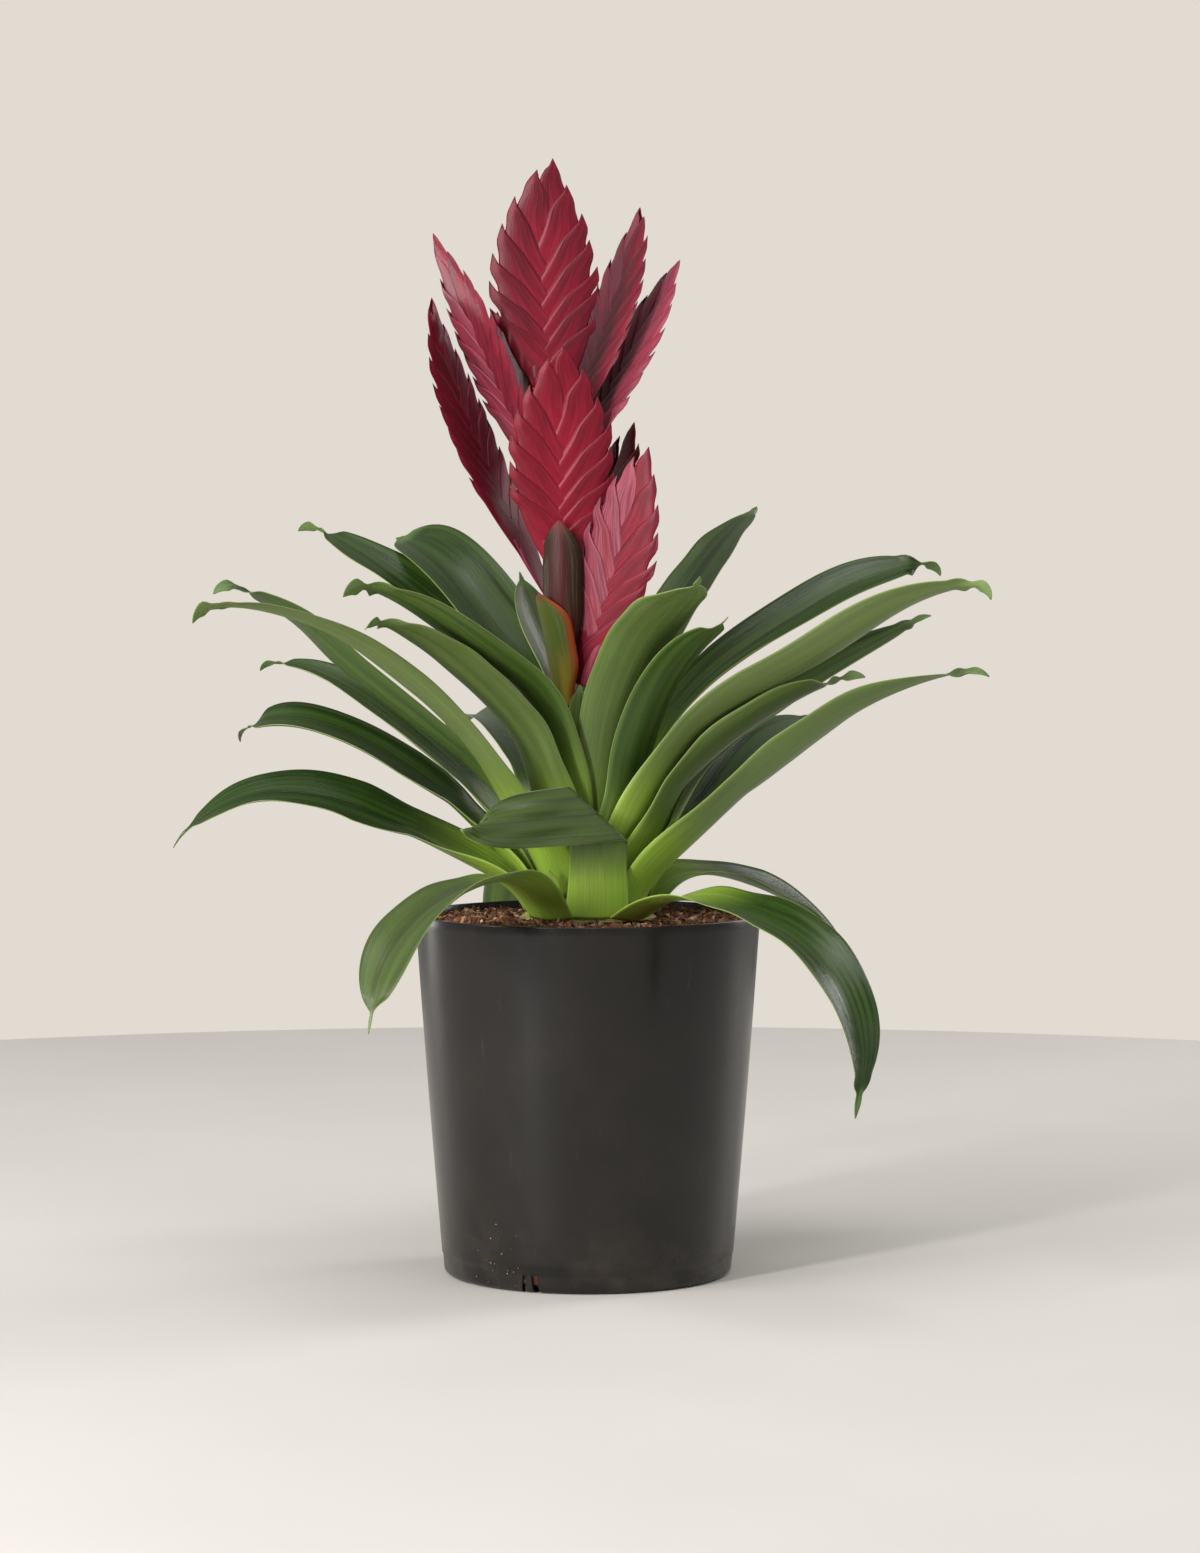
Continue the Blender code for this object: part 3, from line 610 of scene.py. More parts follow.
def leafFinish():
    finish, shader = newFinish("leafGreen", Specular_IOR_Level=0.45)
    where, across = mapped(finish)
    share, under, tint = (attribute(finish, name) for name in ("share", "under", "tint"))
    veins = grain(finish, where, 1.0, 2, 0.5, (2.5, 95, 1))
    streaks = grain(finish, where, 1.0, 4, 0.55, (1.6, 8, 1))
    clouds = grain(finish, where, 1.0, 3, 0.5, (7, 3, 1))
    blade = blend(finish, ease(finish, streaks, 0.3, 0.72), tone(22, 42, 10), tone(60, 90, 22))
    blade = blend(finish, ease(finish, veins, 0.45, 0.8, 0, 0.22), blade, tone(104, 132, 58))
    sheath = blend(finish, ease(finish, veins, 0.2, 0.85), tone(122, 160, 44), tone(166, 194, 80))
    rising = timesPlus(finish, streaks, 0.24, share)
    grown = ease(finish, rising, 0.30, 0.62)
    colour = blend(finish, grown, sheath, blade)
    pale = blend(finish, ease(finish, streaks, 0.35, 0.7), tone(66, 100, 30), tone(104, 134, 52))
    colour = blend(finish, times(finish, under, times(finish, grown, 0.75)), colour, pale)
    colour = blend(finish, ease(finish, clouds, 0.55, 0.8, 0, 0.12), colour, tone(132, 150, 104))
    # darker towards tone(34, 54, 22) as the tint rises: partly the leaf's own green, partly painted shade
    colour = blend(finish, times(finish, tint, timesPlus(finish, grown, 0.4, 0.1)), colour, tone(34, 54, 22))
    # painted sheen: leaves with a low tint get a paler, greyer blade, standing in for the broad highlights on
    # their upper faces
    paintedLeafSheen = times(finish, number(finish, "SUBTRACT", 0.5, tint, clamp=True), times(finish, grown, 0.8))
    colour = blend(finish, paintedLeafSheen, colour, tone(134, 146, 92))
    fromMiddle = besideMiddle(finish, across)
    edge = ease(finish, fromMiddle, 0.488, 0.499)
    colour = blend(finish, times(finish, edge, 0.4), colour, tone(176, 186, 110))
    colour = blend(finish, ease(finish, share, 0.93, 0.975, 0.0, 0.45), colour, tone(116, 148, 84))
    dry = ease(finish, timesPlus(finish, clouds, 0.03, share), 1.005, 1.03)
    colour = blend(finish, dry, colour, tone(120, 92, 58))
    gloss = ease(finish, timesPlus(finish, veins, 0.35, streaks), 0.4, 0.85, 0.15, 0.4)
    gloss = timesPlus(finish, under, 0.16, gloss)
    return dress(finish, shader, colour, gloss, timesPlus(finish, streaks, 0.8, veins), 0.00025, 0.5)


def ringRadius(ring):  # each ring inwards is smaller by one thickness and one gap
    step = leaves["thickness"] + leaves["sheathGap"]
    return stemRadius + leaves["thickness"] - (leaves["outerRing"] - ring) * step


def leafFoot(radius, heading):
    # a place on the stem's cone: radius out along the heading, and up by slope times the way in from the edge
    turn = math.radians(heading)
    height = mixTop + leaves["stemEdge"] + clearance
    height = height + (ringRadius(leaves["outerRing"]) - radius) * leaves["stemSlope"]
    return radius * math.cos(turn), radius * math.sin(turn), height


def leafGrid(name, order):
    # the leaf's line climbs and turns as it grows; across it is an arc that opens from the clasping sheath
    # to a shallow channel, and the last millimetres narrow to a neck and a small curled flag
    ring, heading, sweep, climb, length, roll, twist, width, *hangs = leafTable[name]
    radius = ringRadius(ring)
    if hangs:
        length = length * (potTop - radius)
    foot = leafFoot(radius, heading)
    flag, flagWidth, curl, tipTwist, blunt = leafTips.get(
        name, (rng.uniform(6, 10), rng.uniform(3, 6), rng.uniform(-80, -20), rng.uniform(-60, 60), 8))
    if length < leaves["shortest"]:
        flag, flagWidth, curl, tipTwist = 1.5, 1, 0, 0
    flag, flagWidth = flag * mm / length, flagWidth * mm
    where = np.linspace(0, 1, 481)
    past = np.clip((where - 1 + flag) / flag, 0, 1)
    points, _, side, upper = growthLine(
        foot, heading + sweep * where**2, through(climb, where) + curl * past, length)
    lean = roll * np.clip(where / 0.5, 0, 1) ** 1.5 + twist * where**3
    lean = np.radians(lean + tipTwist * smooth((where - 1 + 2 * flag) / flag))[:, None]
    side, upper = side * np.cos(lean) + upper * np.sin(lean), upper * np.cos(lean) - side * np.sin(lean)
    places = np.unique(np.concatenate([np.linspace(0, 1 - 4 * flag, leaves["bladeStations"]),
                                       np.linspace(1 - 4 * flag, 1, leaves["tipStations"])]))
    points, side, upper = sampled([points, side, upper], places)
    spread = math.radians(sharedSpread.get(name, leaves["sheathSpread"]))
    sheath = min(leaves["sheathSwell"] * width, 2 * radius * spread)
    opened = smooth(places / leaves["sheathEnd"])
    body = sheath + (width - sheath) * opened
    body = body * (1 - 0.1 * np.exp(-(((places - leaves["sheathEnd"]) / 0.09) ** 2)))
    belly = np.sin(math.pi * np.clip(places / leaves["bellyEnd"], 0, 1)) ** 1.3 * ring / leaves["outerRing"]
    belly = belly * (not hangs)
    body = body * (1 + leaves["sheathRoom"] * belly) * (1 + (leaves["slender"].get(name, 1) - 1) * opened)
    end = np.clip(places / (1 - flag), 0, 1)
    body = body * (1 - end**blunt) ** 0.85
    past = np.clip((places - 1 + flag) / flag, 0, 1)
    tip = leaves["neck"] + (flagWidth - leaves["neck"]) * 1.35 * smooth(past / 0.4) * (1 - past) ** 0.75
    tip = tip - leaves["neck"] * 0.85 * past**2
    half = np.maximum(body, np.minimum(tip, width)) / 2
    points = points - upper * (leaves["bulge"] * belly * (length > leaves["shortest"]))[:, None]
    flat = smooth(places / leaves["flatFrom"])
    bend = (1 - flat) / radius + flat * leaves["bladeBend"] / (width / 2)
    bend = bend + leaves["flagBend"] * past / np.maximum(flagWidth, 1 * mm)
    across = np.linspace(-1, 1, leaves["columns"])
    sideways, inwards = arched(half, bend, across)
    vee = np.abs(across) * half[:, None] * math.tan(0.5 * leaves["bladeBend"])
    share = (leaves["channel"] * flat * (1 - past))[:, None]
    inwards = inwards * (1 - share) + vee * share * 1.6
    metres = places * length
    wave = waves(order * 7 + 1, metres, count=5, size=0.09)[:, None] * (across**3) \
        + waves(order * 7 + 2, metres, count=5, size=0.07)[:, None] * across**2
    inwards = inwards + wave * leaves["waveHeight"] * (smooth(places / 0.35) * (1 - past))[:, None]
    grid = points[:, None] + side[:, None] * sideways[..., None] + upper[:, None] * inwards[..., None]
    return grid, places, across, metres


foldedLeaf = {
    "climb": (85, 86, 84, 82, 82),
    "length": 0.103,
    "width": 0.0255,
    "crease": 0.031,  # how far up the right edge the crease starts
    "creaseTurn": 47,
    "creaseRadius": 1.8 * mm,
    "foldAngle": 163,
    "ragged": 1.6 * mm,
    "ripple": 0.9 * mm,
    "rippleFrom": 12 * mm,
    "opening": 9 * mm,  # how far past the crease the curve round the stem is gone
    "stations": 110,
    "columns": 33,
}


def foldedGrid():
    # a flat ribbon bent over a slanting crease: past the crease its points turn about it by the fold angle;
    # the ribbon is then laid on the upright sheath, which is curved round the stem
    ring, heading, _, _, solidLength = leafTable["leaf_front_folded"][:5]
    radius, length, width = ringRadius(ring), foldedLeaf["length"], foldedLeaf["width"]
    line = steadyLine(leafFoot(radius, heading), heading, foldedLeaf["climb"], length, 241)
    places = np.linspace(0, 1, foldedLeaf["stations"])[:, None]
    across = np.linspace(-1, 1, foldedLeaf["columns"])[None, :]
    half = width / 2 * (1 + 0.12 * smooth((0.25 - places) / 0.25)) * (1 - places**12) ** 0.6
    half = np.maximum(half, 1.2 * mm)
    torn = waves(8, across * 3 + 0 * places, count=6) * foldedLeaf["ragged"] * smooth((places - 0.88) / 0.12)
    x, y = across * half, places * length * (1 + 0.05 * across * places) + torn
    slant = math.radians(foldedLeaf["creaseTurn"])
    normal = (math.cos(slant), math.sin(slant))
    past = np.maximum((x - width / 2) * normal[0] + (y - foldedLeaf["crease"]) * normal[1], 0)
    bent, angle = foldedLeaf["creaseRadius"], math.radians(foldedLeaf["foldAngle"])
    arc = np.minimum(past, bent * angle)
    rest = past - arc
    inPlane = -past + bent * np.sin(arc / bent) + rest * math.cos(angle)
    lift = bent * (1 - np.cos(arc / bent)) + rest * math.sin(angle)
    ripple = waves(9, x / width, y / length, count=6, size=0.8) * foldedLeaf["ripple"]
    lift = lift + ripple * smooth(rest / foldedLeaf["rippleFrom"])
    x, y = x + normal[0] * inPlane, y + normal[1] * inPlane
    centre, _, side, upper = (values.reshape(*y.shape, 3) for values in sampled(line, (y / length).ravel()))
    bend = (1 - smooth(y / (leaves["flatFrom"] * solidLength))) / radius
    bend = bend * (1 - smooth(past / foldedLeaf["opening"])) + 1e-3  # never quite 0, since it divides below
    swing = bend * x
    inward = upper * np.cos(swing)[..., None] - side * np.sin(swing)[..., None]
    grid = centre + side * (np.sin(swing) / bend)[..., None] + upper * ((1 - np.cos(swing)) / bend)[..., None]
    return grid - inward * lift[..., None], places[:, 0], across[0], places[:, 0] * length


def buildLeaves():
    # every leaf is a shell over its grid, thinner towards its edges and its end
    finish = leafFinish()
    for order, name in enumerate(leafTable):
        folded = name == "leaf_front_folded"
        grid, places, across, metres = foldedGrid() if folded else leafGrid(name, order)
        age = leaves["age"].get(name, leaves["ageRate"])
        share = np.minimum(places * age, leaves["greenest"])
        share = share if folded else np.maximum(share, places * min(age, 1))
        thin = leaves["thickness"] * (1 - leaves["thinEdge"] * np.abs(across) ** 6)[None, :]
        thin = thin * (1 - leaves["thinTip"] * places**4)[:, None]
        tint = np.full((len(places), len(across)), leaves["tint"].get(name, rng.uniform(0.2, 0.8)))
        body = shell(grid, thin, grown=ownMap(metres * 4, across), share=share[:, None] + 0 * across, tint=tint)
        addPiece("grown_" + name, body, finish, [name])
    print("leaves", len(leafTable))


flower = {
    "stemRadius": 4.3 * mm,
    "tipRadius": 2.2 * mm,
    "length": 0.198,
    "offset": -1 * mm,
    "heading": 184,
    "climb": (86, 84, 86, 88, 88),
    "spikeThickness": 3.6 * mm,
    "bractThickness": 0.7 * mm,
    "bractBlunt": 6,
    "outline": (0.45, 0.68, 0.84, 0.94, 1.0, 0.96, 0.78, 0.44, 0.03),
    "spacing": 11.6 * mm,
    "bractLength": 64 * mm,
    "shell": 0.07 * mm,
    "puff": 1.25,
    "firstTip": 0.38,
    "steps": 160,
    "swelling": 0.05,
    "bractRows": 27,
    "bractColumns": 19,
    "stand": (1.8, 3.4),  # how far a bract's point stands out from the spike's edge, in mm
    "topSlims": (0.84, 0.14),  # where along the spike its bracts start to get slender, and over how much
    "pressed": 0.22 * mm,
    "coreEnd": 0.72,
    # paintedSheen: for each spike, how much pale pink is painted on its bracts on one side and on the other. It
    # is a painted reflection of the lamps on the faces that turn towards them.
    "paintedSheen": {"spike_right_front": (0.05, 0.48), "spike_right_middle": (0.3, 0.1),
               "spike_left_upper": (0.1, 0.3), "spike_left_lower": (0.3, 0), "spike_right_upper": (0.05, 0.3)},
}
# start along the flower stem, heading, climb, facing, length, width, and how light its red is: partly the
# spike's own red, partly painted shade on spikes that sit in shadow
spikeTable = {
    "spike_top": (1.0, 170, (82, 88, 97), 268, 0.114, 0.042, 0.55),
    "spike_front": (0.62, 268, (90, 85, 80), 270, 0.108, 0.041, 1.0),
    "spike_left_upper": (0.83, 160, (64, 65, 64), 202, 0.128, 0.038, 0.6),
    "spike_left_lower": (0.60, 154, (59, 64, 77), 336, 0.148, 0.044, 0.65),
    "spike_right_upper": (0.94, 43, (64, 66, 70), 210, 0.118, 0.042, 0.4),
    "spike_right_middle": (0.86, 23, (64, 61, 60), 207, 0.112, 0.041, 0.5),
    "spike_right_low": (0.67, 44, (54, 59, 65), 215, 0.076, 0.034, 0.3),
    "spike_right_front": (0.41, 325, (68, 71, 73), 240, 0.110, 0.033, 0.7),
    "spike_back": (0.84, 118, (42, 56, 74), 205, 0.100, 0.034, 0.3),
}
# start, heading, climb, length, width, and how far the fine bract swells past it
scapeTable = {
    "scape_bract_olive": (0.45, 254, (58, 77, 87, 90, 92), 0.066, 0.021, 1.12),
    "scape_bract_red_edged": (0.36, 222, (72, 75, 76, 74, 72), 0.052, 0.020, 1.2),
}


def crimsonFinish():
    finish, shader = newFinish("crimsonBracts", Specular_IOR_Level=0.28, Sheen_Weight=0.03, Sheen_Roughness=0.4,
                               Sheen_Tint=(1.0, 0.8, 0.85, 1), Subsurface_Weight=0.05,
                               Subsurface_Radius=(0.004, 0.001, 0.001))
    where, _ = mapped(finish)
    share, edge, bright, paintedSheenShare = (attribute(finish, name) for name in ("share", "edge", "bright", "tint"))
    veins = grain(finish, where, 1.0, 3, 0.55, (2.5, 30, 1))
    clouds = grain(finish, where, 1.0, 3, 0.5, (3, 4, 1))
    # deep and light reds are darker where the spike's value is low: partly its own red, partly painted shade
    deep = blend(finish, bright, tone(58, 6, 22), tone(112, 7, 30))
    light = blend(finish, bright, tone(106, 12, 36), tone(142, 15, 42))
    colour = blend(finish, ease(finish, clouds, 0.3, 0.7), deep, light)
    colour = blend(finish, ease(finish, veins, 0.45, 0.8, 0, 0.16), colour, tone(186, 72, 92))
    colour = blend(finish, ease(finish, edge, 0.95, 0.995, 0, 0.1), colour, tone(196, 84, 100))
    colour = blend(finish, ease(finish, share, 0.90, 1.02, 0.0, 0.5), colour, tone(70, 20, 24))
    # painted sheen: pale pink streaks along the veins wherever the tint attribute is set, standing in for the
    # lamps' reflection on the bracts
    paintedSheen = times(finish, paintedSheenShare, ease(finish, veins, 0.34, 0.66, 0.25, 1.0))
    colour = blend(finish, paintedSheen, colour, tone(186, 118, 138))
    gloss = timesPlus(finish, veins, 0.3, 0.24)
    return dress(finish, shader, colour, gloss, timesPlus(finish, clouds, 0.9, veins), 0.0002, 0.5)


def scapeFinish():
    finish, shader = newFinish("flowerStemRed", Sheen_Weight=0.2)
    place = ownPlace(finish)
    streak = grain(finish, place, 900, 4, 0.6, (1, 1, 0.05))
    cloud = grain(finish, place, 90, 3, 0.5)
    colour = blend(finish, ease(finish, streak, 0.3, 0.7), tone(88, 16, 24), tone(150, 42, 44))
    colour = blend(finish, times(finish, cloud, 0.3), colour, tone(120, 96, 50))
    return dress(finish, shader, colour, timesPlus(finish, streak, 0.25, 0.3), streak, 0.0004, 0.6)


def scapeBractFinish(name, low, middle, edgeTone, stripe):
    finish, shader = newFinish(name, Specular_IOR_Level=0.3)
    where, across = mapped(finish)
    share = attribute(finish, "share")
    veins = grain(finish, where, 1.0, 3, 0.55, (3, 26, 1))
    clouds = grain(finish, where, 1.0, 3, 0.5, (4, 4, 1))
    fromMiddle = besideMiddle(finish, across)
    colour = blend(finish, ease(finish, share, 0.1, 0.6), low, middle)
    colour = blend(finish, ease(finish, veins, 0.4, 0.8, 0, 0.14), colour, tone(170, 150, 110))
    margin = ease(finish, timesPlus(finish, clouds, 0.1, fromMiddle), 0.34, 0.54, 0, 0.85)
    colour = blend(finish, margin, colour, edgeTone)
    colour = blend(finish, ease(finish, fromMiddle, 0.24, 0.04, 0, 0.85), colour, stripe)
    colour = blend(finish, ease(finish, share, 0.88, 1.0, 0, 0.7), colour, tone(120, 40, 34))
    gloss = timesPlus(finish, veins, 0.3, 0.3)
    return dress(finish, shader, colour, gloss, number(finish, "ADD", veins, clouds), 0.0004, 0.5)


def stemRadiusAt(share):  # a straight taper from the foot's radius to the tip's
    return flower["stemRadius"] + (flower["tipRadius"] - flower["stemRadius"]) * share


def flowerLine():  # the flower stem's line, which starts just above the woody stem
    foot = (flower["offset"], 0, stemHigh.z + clearance)
    return steadyLine(foot, flower["heading"], flower["climb"], flower["length"], flower["steps"] + 1)


def besideStem(line, start, heading, reach):
    # the line's point at start, moved out along the heading by the stem's radius, the clearance and reach
    turn = math.radians(heading)
    out = stemRadiusAt(start) + clearance + reach
    return line[0][int(round(start * flower["steps"]))] + np.array([math.cos(turn), math.sin(turn), 0]) * out


def buildFlowerStem(line, finish):
    # a round stem with faint ribs and a swelling where each spike leaves it
    places = np.linspace(0, 1, 90)
    points, side, upper = sampled([line[0], line[2], line[3]], places)
    sides = 40
    starts = np.array([row[0] for row in spikeTable.values()] + [row[0] for row in scapeTable.values()])
    swelling = np.exp(-(((places[:, None] - starts + 0.01) / 0.012) ** 2)).sum(1)
    ribs = 1 + 0.012 * np.sin(9 * np.arange(sides) * 2 * math.pi / sides)
    reach = stemRadiusAt(places)[:, None] * (ribs + flower["swelling"] * np.minimum(swelling, 1)[:, None])
    addPiece("redFlowerStem", tube(points, side, upper, sides, reach), finish, ["flower_stem"])


def spikeFrame(name, line):
    # the spike's line, with upper as the way it faces, less the part of that along the line
    start, heading, climb, facing, length, width, _ = spikeTable[name]
    if start >= 1:
        foot = line[0][-1] + np.array([0, 0, clearance])
    else:
        foot = besideStem(line, start, heading, flower["spikeThickness"] / 2)
    points, along, _, _ = steadyLine(foot, heading, climb, length, flower["steps"] + 1)
    turn = math.radians(facing)
    face = np.array([math.cos(turn), math.sin(turn), 0])
    upper = unit(face - (along @ face)[:, None] * along)
    return points, np.cross(upper, along), upper, length, width


def bractGrid(frameLine, tip, sign, picks):
    # a boat folded on its keel: the keel swings from the middle out to the spike's edge, bulges and points up;
    # both walls close back over the middle, wide below and narrowing to the point; a lower boat lies outside
    points, side, upper, length, width = frameLine
    beside = through(flower["outline"], np.clip(tip - 0.16, 0, 1)) * width / 2
    boat = min(flower["bractLength"] * (0.5 + beside / width), tip * length + 1 * mm)
    a = np.linspace(0, 1, flower["bractRows"])[:, None] ** 0.9  # up the bract
    b = np.linspace(-1, 1, flower["bractColumns"])[None, :]  # from one wall's edge over the keel to the other's
    b = np.sign(b) * np.abs(b) ** 1.35
    y = tip * length - boat * (1 - a)
    outline = through(flower["outline"], np.clip(y / length, 0, 1)) * width / 2
    slim = smooth((tip - flower["topSlims"][0]) / flower["topSlims"][1])
    stand = picks.uniform(*flower["stand"]) * mm * (0.5 + beside / width) * (1 - 0.5 * slim)
    keel = outline * np.sin(math.pi / 2 * np.clip(a / 0.95, 0, 1) ** 0.85)
    keel = keel + stand * (smooth((a - 0.78) / 0.12) + picks.uniform(-0.45, 0.35) * smooth((a - 0.9) / 0.1))
    wall = (1.26 * beside + 1.5 * mm) * (1 - a ** (1.9 + 1.7 * slim)) ** 0.85
    wall = wall * (1 - 0.4 * smooth((a - 0.88) / 0.08)) + 0.2 * mm
    wall = np.minimum(wall, keel + 0.55 * outline)
    x = keel - np.abs(b) * wall
    layer = (0.3 + flower["puff"] * a * (1 - 0.15 * tip)) * mm
    beyond = smooth((np.abs(x) - outline + 0.5 * mm) / (3 * mm))
    pressed = flower["pressed"] * smooth((np.abs(b) - 0.84) / 0.16)
    z = (layer * (1 - (1 - np.abs(b)) ** 4.5) - pressed) * (1 - beyond) * (1 - a**22) * np.sign(b)
    base, across, outwards = sampled([points, side, upper], np.clip(y / length, 0, 1))
    grid = base + across * (sign * x)[..., None] + outwards * z[..., None]
    return grid, a + 0 * b, b + 0 * a


def buildSpike(name, line, finish, order):
    # bracts at even steps up the spike, to the left and right in turn, round a thin core
    frameLine = spikeFrame(name, line)
    points, side, upper, length, _ = frameLine
    bright = spikeTable[name][-1]
    picks = np.random.default_rng(100 + order)
    first = flower["firstTip"]
    count = int(round(2 * length * (1 - first) / flower["spacing"])) + 1
    tips = first + (1 - first) * np.arange(count) / (count - 1)
    bodies = []
    for index, tip in enumerate(tips):
        sign = 1 if index % 2 else -1
        place = tip + picks.normal() * 0.004 * (index < count - 1)
        grid, a, b = bractGrid(frameLine, min(place, 1), sign, picks)
        if sign < 0:
            grid = grid[:, ::-1]
            b = b[:, ::-1]
        grown = np.stack([a, (b + 1) / 2], -1)
        # on the bracts, the tint attribute holds the painted sheen for this side of the spike
        tint = np.full(a.shape, flower["paintedSheen"].get(name, (0, 0))[index % 2] * picks.uniform(0.7, 1.0))
        # lit: the spike's painted light and shade, varied a little from bract to bract
        lit = np.full(a.shape, np.clip(bright + picks.normal() * 0.06, 0, 1))
        bodies.append(shell(grid, flower["shell"], grown=grown, share=a, edge=np.abs(b), tint=tint, bright=lit))
    # the spike's own axis, from the flower stem to well under the last bracts
    places = np.linspace(0, flower["coreEnd"], 26)
    axis, across, outwards = sampled([points, side, upper], places)
    # the core is painted darker still, as painted shade inside the spike
    core = tube(axis, across, -outwards, 12, (0.62 - 0.5 * places)[:, None] * mm,
                share=0.2, edge=0.0, tint=0.0, bright=bright * 0.6, under=0.0)
    core[2]["grown"] = np.zeros((len(core[0]), 2))
    addPiece("bracts_" + name, joined(bodies + [core]), finish, [name])


def buildScapeBract(name, line, finish):
    # a pointed strap that clasps the flower stem: across its line is an arc that opens as it leaves the stem
    start, heading, climb, length, width, swell = scapeTable[name]
    foot = besideStem(line, start, heading, flower["bractThickness"] / 2)
    points, _, side, upper = steadyLine(foot, heading, climb, length, flower["steps"] + 1)
    places = np.concatenate([np.linspace(0, 0.8, 36)[:-1], np.linspace(0.8, 1, 24)])
    points, side, upper = sampled([points, side, upper], places)
    widening = 0.45 + 0.55 * smooth(places / 0.4)
    widening = widening + 0.18 * np.exp(-(((places - 0.78) / 0.16) ** 2))
    half = np.maximum(width * swell * widening * (1 - places**flower["bractBlunt"]) ** 0.95, 0.5 * mm) / 2
    clasp = stemRadiusAt(start) + clearance + flower["bractThickness"] / 2
    bend = 1 / (clasp + (width * 0.45 - clasp) * smooth(places / 0.4))
    across = np.linspace(-1, 1, 21)
    sideways, inwards = arched(half, bend, across)
    grid = points[:, None] + side[:, None] * sideways[..., None] + upper[:, None] * inwards[..., None]
    body = shell(grid, flower["bractThickness"] * (1 - 0.4 * np.abs(across) ** 5)[None, :],
                 grown=ownMap(places, across), share=places[:, None] + 0 * across,
                 tint=np.full((len(places), len(across)), 0.5))
    addPiece("grown_" + name, body, finish, [name])


def buildFlower():
    line = flowerLine()
    buildFlowerStem(line, scapeFinish())
    crimson = crimsonFinish()
    for order, name in enumerate(spikeTable):
        buildSpike(name, line, crimson, order)
    olive = scapeBractFinish("oliveBract", tone(66, 12, 16), tone(50, 32, 22), tone(34, 38, 14), tone(72, 6, 16))
    redEdged = scapeBractFinish("redEdgedBract", tone(160, 134, 44), tone(74, 92, 36), tone(180, 62, 36),
                                tone(84, 92, 34))
    buildScapeBract("scape_bract_olive", line, olive)
    buildScapeBract("scape_bract_red_edged", line, redEdged)
    print("flower", len(spikeTable), "spikes")


def stemFinish():
    finish, shader = newFinish("stemTissue")
    place = ownPlace(finish)
    streak = grain(finish, place, 500, 4, 0.6, (1, 1, 0.12))
    cloud = grain(finish, place, 140, 3, 0.5)
    colour = blend(finish, ease(finish, streak, 0.3, 0.72), tone(92, 74, 36), tone(158, 158, 80))
    colour = blend(finish, ease(finish, cloud, 0.5, 0.8, 0, 0.7), colour, tone(74, 46, 30))
    return dress(finish, shader, colour, timesPlus(finish, streak, 0.3, 0.5), streak, 0.0008, 0.8)


def buildStem():
    # the turned outline of a peg, a ledge and a cone that narrows to the flower stem
    base = mixTop + clearance
    edge, heart = ringRadius(leaves["outerRing"]) - leaves["thickness"], flower["stemRadius"]
    peg = mix["socketRadius"] - clearance
    outline = [(peg - 6 * mm, stemLow.z), (peg, stemLow.z + 6 * mm)]
    outline += [(peg, z) for z in np.linspace(stemLow.z + 6 * mm, base, 16)[1:]]
    outline += [(radius, base) for radius in np.linspace(peg, edge, 6)[1:]]
    low = base + leaves["stemEdge"] - clearance
    outline += [(edge + (heart - edge) * share, low + (stemHigh.z - low) * share)
                for share in np.linspace(0, 1, 34)]
    rings = turned(outline, 96)
    # leaf scars: shallow rings on the cone, and a wandering skin on the peg
    angles = np.arange(96) * 2 * math.pi / 96
    rows = np.arange(len(outline))[:, None]
    scars = 0.012 * (1 + np.sin(rows * 1.9))
    shrink = 1 - scars - 0.01 * (1 + waves(5, rows / 6, np.sin(angles), np.cos(angles), size=2))
    rings[:, :, :2] *= np.clip(shrink, 0.9, 1)[..., None]
    addPiece("caudex", rounded(rings), stemFinish(), ["stem"])
    print("stem")


studio = {
    "floorRadius": 0.98,
    "floorSides": 160,
    "roomLight": ((1.0, 0.97, 0.93, 1), 0.33),  # colour and strength
    "roomSeen": (tone(226, 219, 210), 1.0),
    "cameraAt": (0.0054, -1.856, 0.3146),
    "cameraPitch": 0.0513,
    "lens": 36 * 4216 / 1553,
    "lights": (  # name, place, aim, width, height, watts, colour
        ("key", (-1.12, -1.42, 0.75), (0, 0, 0.22), 0.13, 1.5, 28, (1.0, 0.98, 0.95)),
        ("side", (-1.7, -0.9, 1.1), (0, 0, 0.25), 1.0, 1.2, 22, (1.0, 0.97, 0.93)),
        ("fill", (1.5, -1.5, 0.9), (0, 0, 0.22), 1.5, 1.5, 4, (0.95, 0.97, 1.0)),
        ("rimRight", (1.2, 0.75, 0.7), (0, 0, 0.2), 0.4, 1.3, 9, (1.0, 0.98, 0.95)),
        ("rimLeft", (-1.35, 1.0, 0.2), (0, 0, 0.1), 0.35, 0.5, 4, (1.0, 0.98, 0.95)),
        ("top", (0.1, -0.3, 2.0), (0, 0, 0.2), 1.0, 1.0, 12, (1.0, 0.99, 0.97)),
    ),
}


def aimed(thing, place, target):
    # turned so that its -Z axis points at the target: tilt and turn are two arctangents of the way there
    thing.location = place
    direction = np.array(target) - np.array(place)
    level = math.hypot(direction[0], direction[1])
    thing.rotation_euler = (math.pi / 2 + math.atan2(direction[2], level), 0,
                            math.atan2(direction[1], direction[0]) - math.pi / 2)


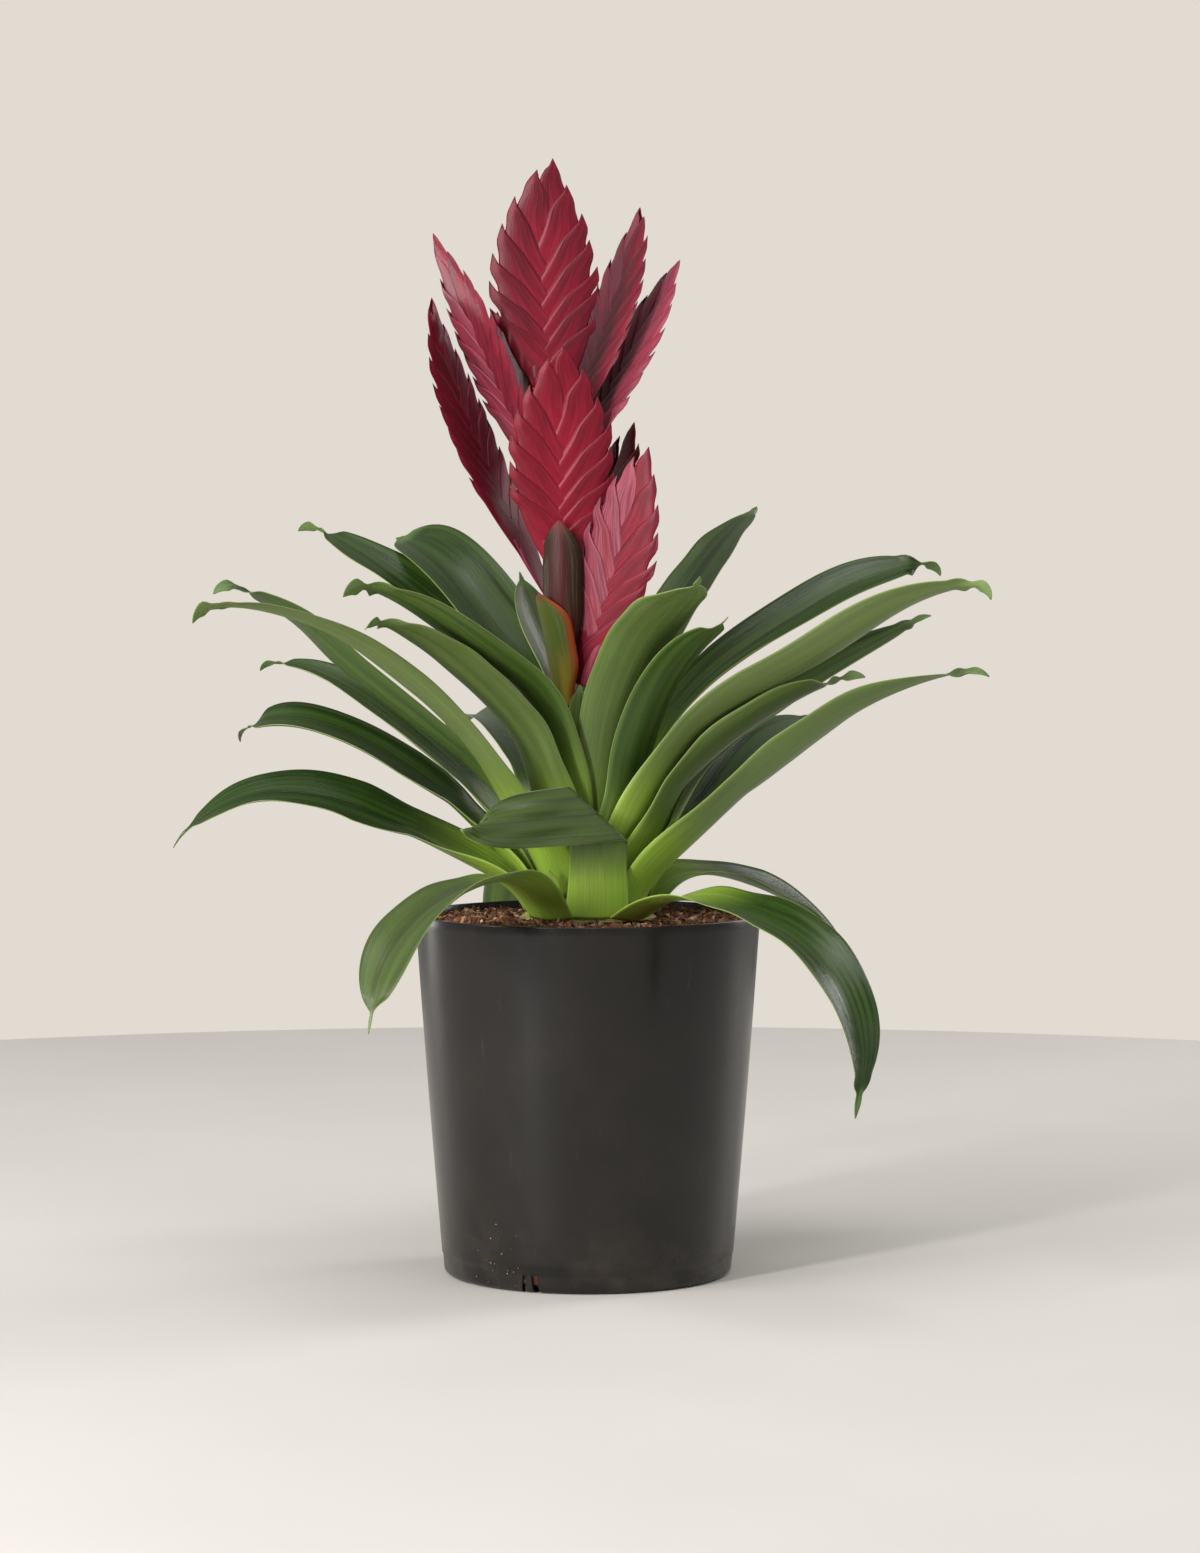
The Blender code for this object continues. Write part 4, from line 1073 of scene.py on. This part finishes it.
def buildStudio():
    # a round pale floor, six lamps, a room that lights one way and is seen another, and the camera
    finish, shader = newFinish("paleFloor")
    place = ownPlace(finish)
    cloud = grain(finish, place, 6, 4, 0.5)
    wire(finish, blend(finish, cloud, tone(208, 205, 200), tone(216, 213, 209)), shader, "Base Color")
    wire(finish, timesPlus(finish, cloud, 0.1, 0.6), shader, "Roughness")
    angles = np.arange(studio["floorSides"]) * 2 * math.pi / studio["floorSides"]
    edge = np.stack([np.cos(angles), np.sin(angles), 0 * angles], 1) * studio["floorRadius"]
    mesh = bpy.data.meshes.new("floor")
    mesh.from_pydata(edge.tolist(), [], [tuple(range(len(edge)))])
    floor = bpy.data.objects.new("floor", mesh)
    mesh.materials.append(finish)
    bpy.context.scene.collection.objects.link(floor)
    for name, place, target, width, height, watts, colour in studio["lights"]:
        lamp = bpy.data.lights.new(name, "AREA")
        lamp.shape, lamp.size, lamp.size_y, lamp.energy, lamp.color = "RECTANGLE", width, height, watts, colour
        light = bpy.data.objects.new(name, lamp)
        bpy.context.scene.collection.objects.link(light)
        aimed(light, place, target)
    world = bpy.data.worlds.new("paleRoom")
    world.use_nodes = True
    nodes, links = world.node_tree.nodes, world.node_tree.links
    lighting, seen = nodes["Background"], nodes.new("ShaderNodeBackground")
    for background, key in ((lighting, "roomLight"), (seen, "roomSeen")):
        background.inputs["Color"].default_value, background.inputs["Strength"].default_value = studio[key]
    either = nodes.new("ShaderNodeMixShader")
    links.new(nodes.new("ShaderNodeLightPath").outputs["Is Camera Ray"], either.inputs[0])
    links.new(lighting.outputs[0], either.inputs[1])
    links.new(seen.outputs[0], either.inputs[2])
    links.new(either.outputs[0], nodes["World Output"].inputs[0])
    bpy.context.scene.world = world
    bpy.context.scene.view_settings.view_transform = "Standard"
    camera = bpy.data.objects.new("camera", bpy.data.cameras.new("camera"))
    camera.data.lens = studio["lens"]
    camera.location = studio["cameraAt"]
    camera.rotation_euler = (math.pi / 2 - studio["cameraPitch"], 0, 0)
    bpy.context.scene.collection.objects.link(camera)
    bpy.context.scene.camera = camera
    print("studio")


buildPot()
buildMix()
buildStem()
buildLeaves()
buildFlower()
buildStudio()
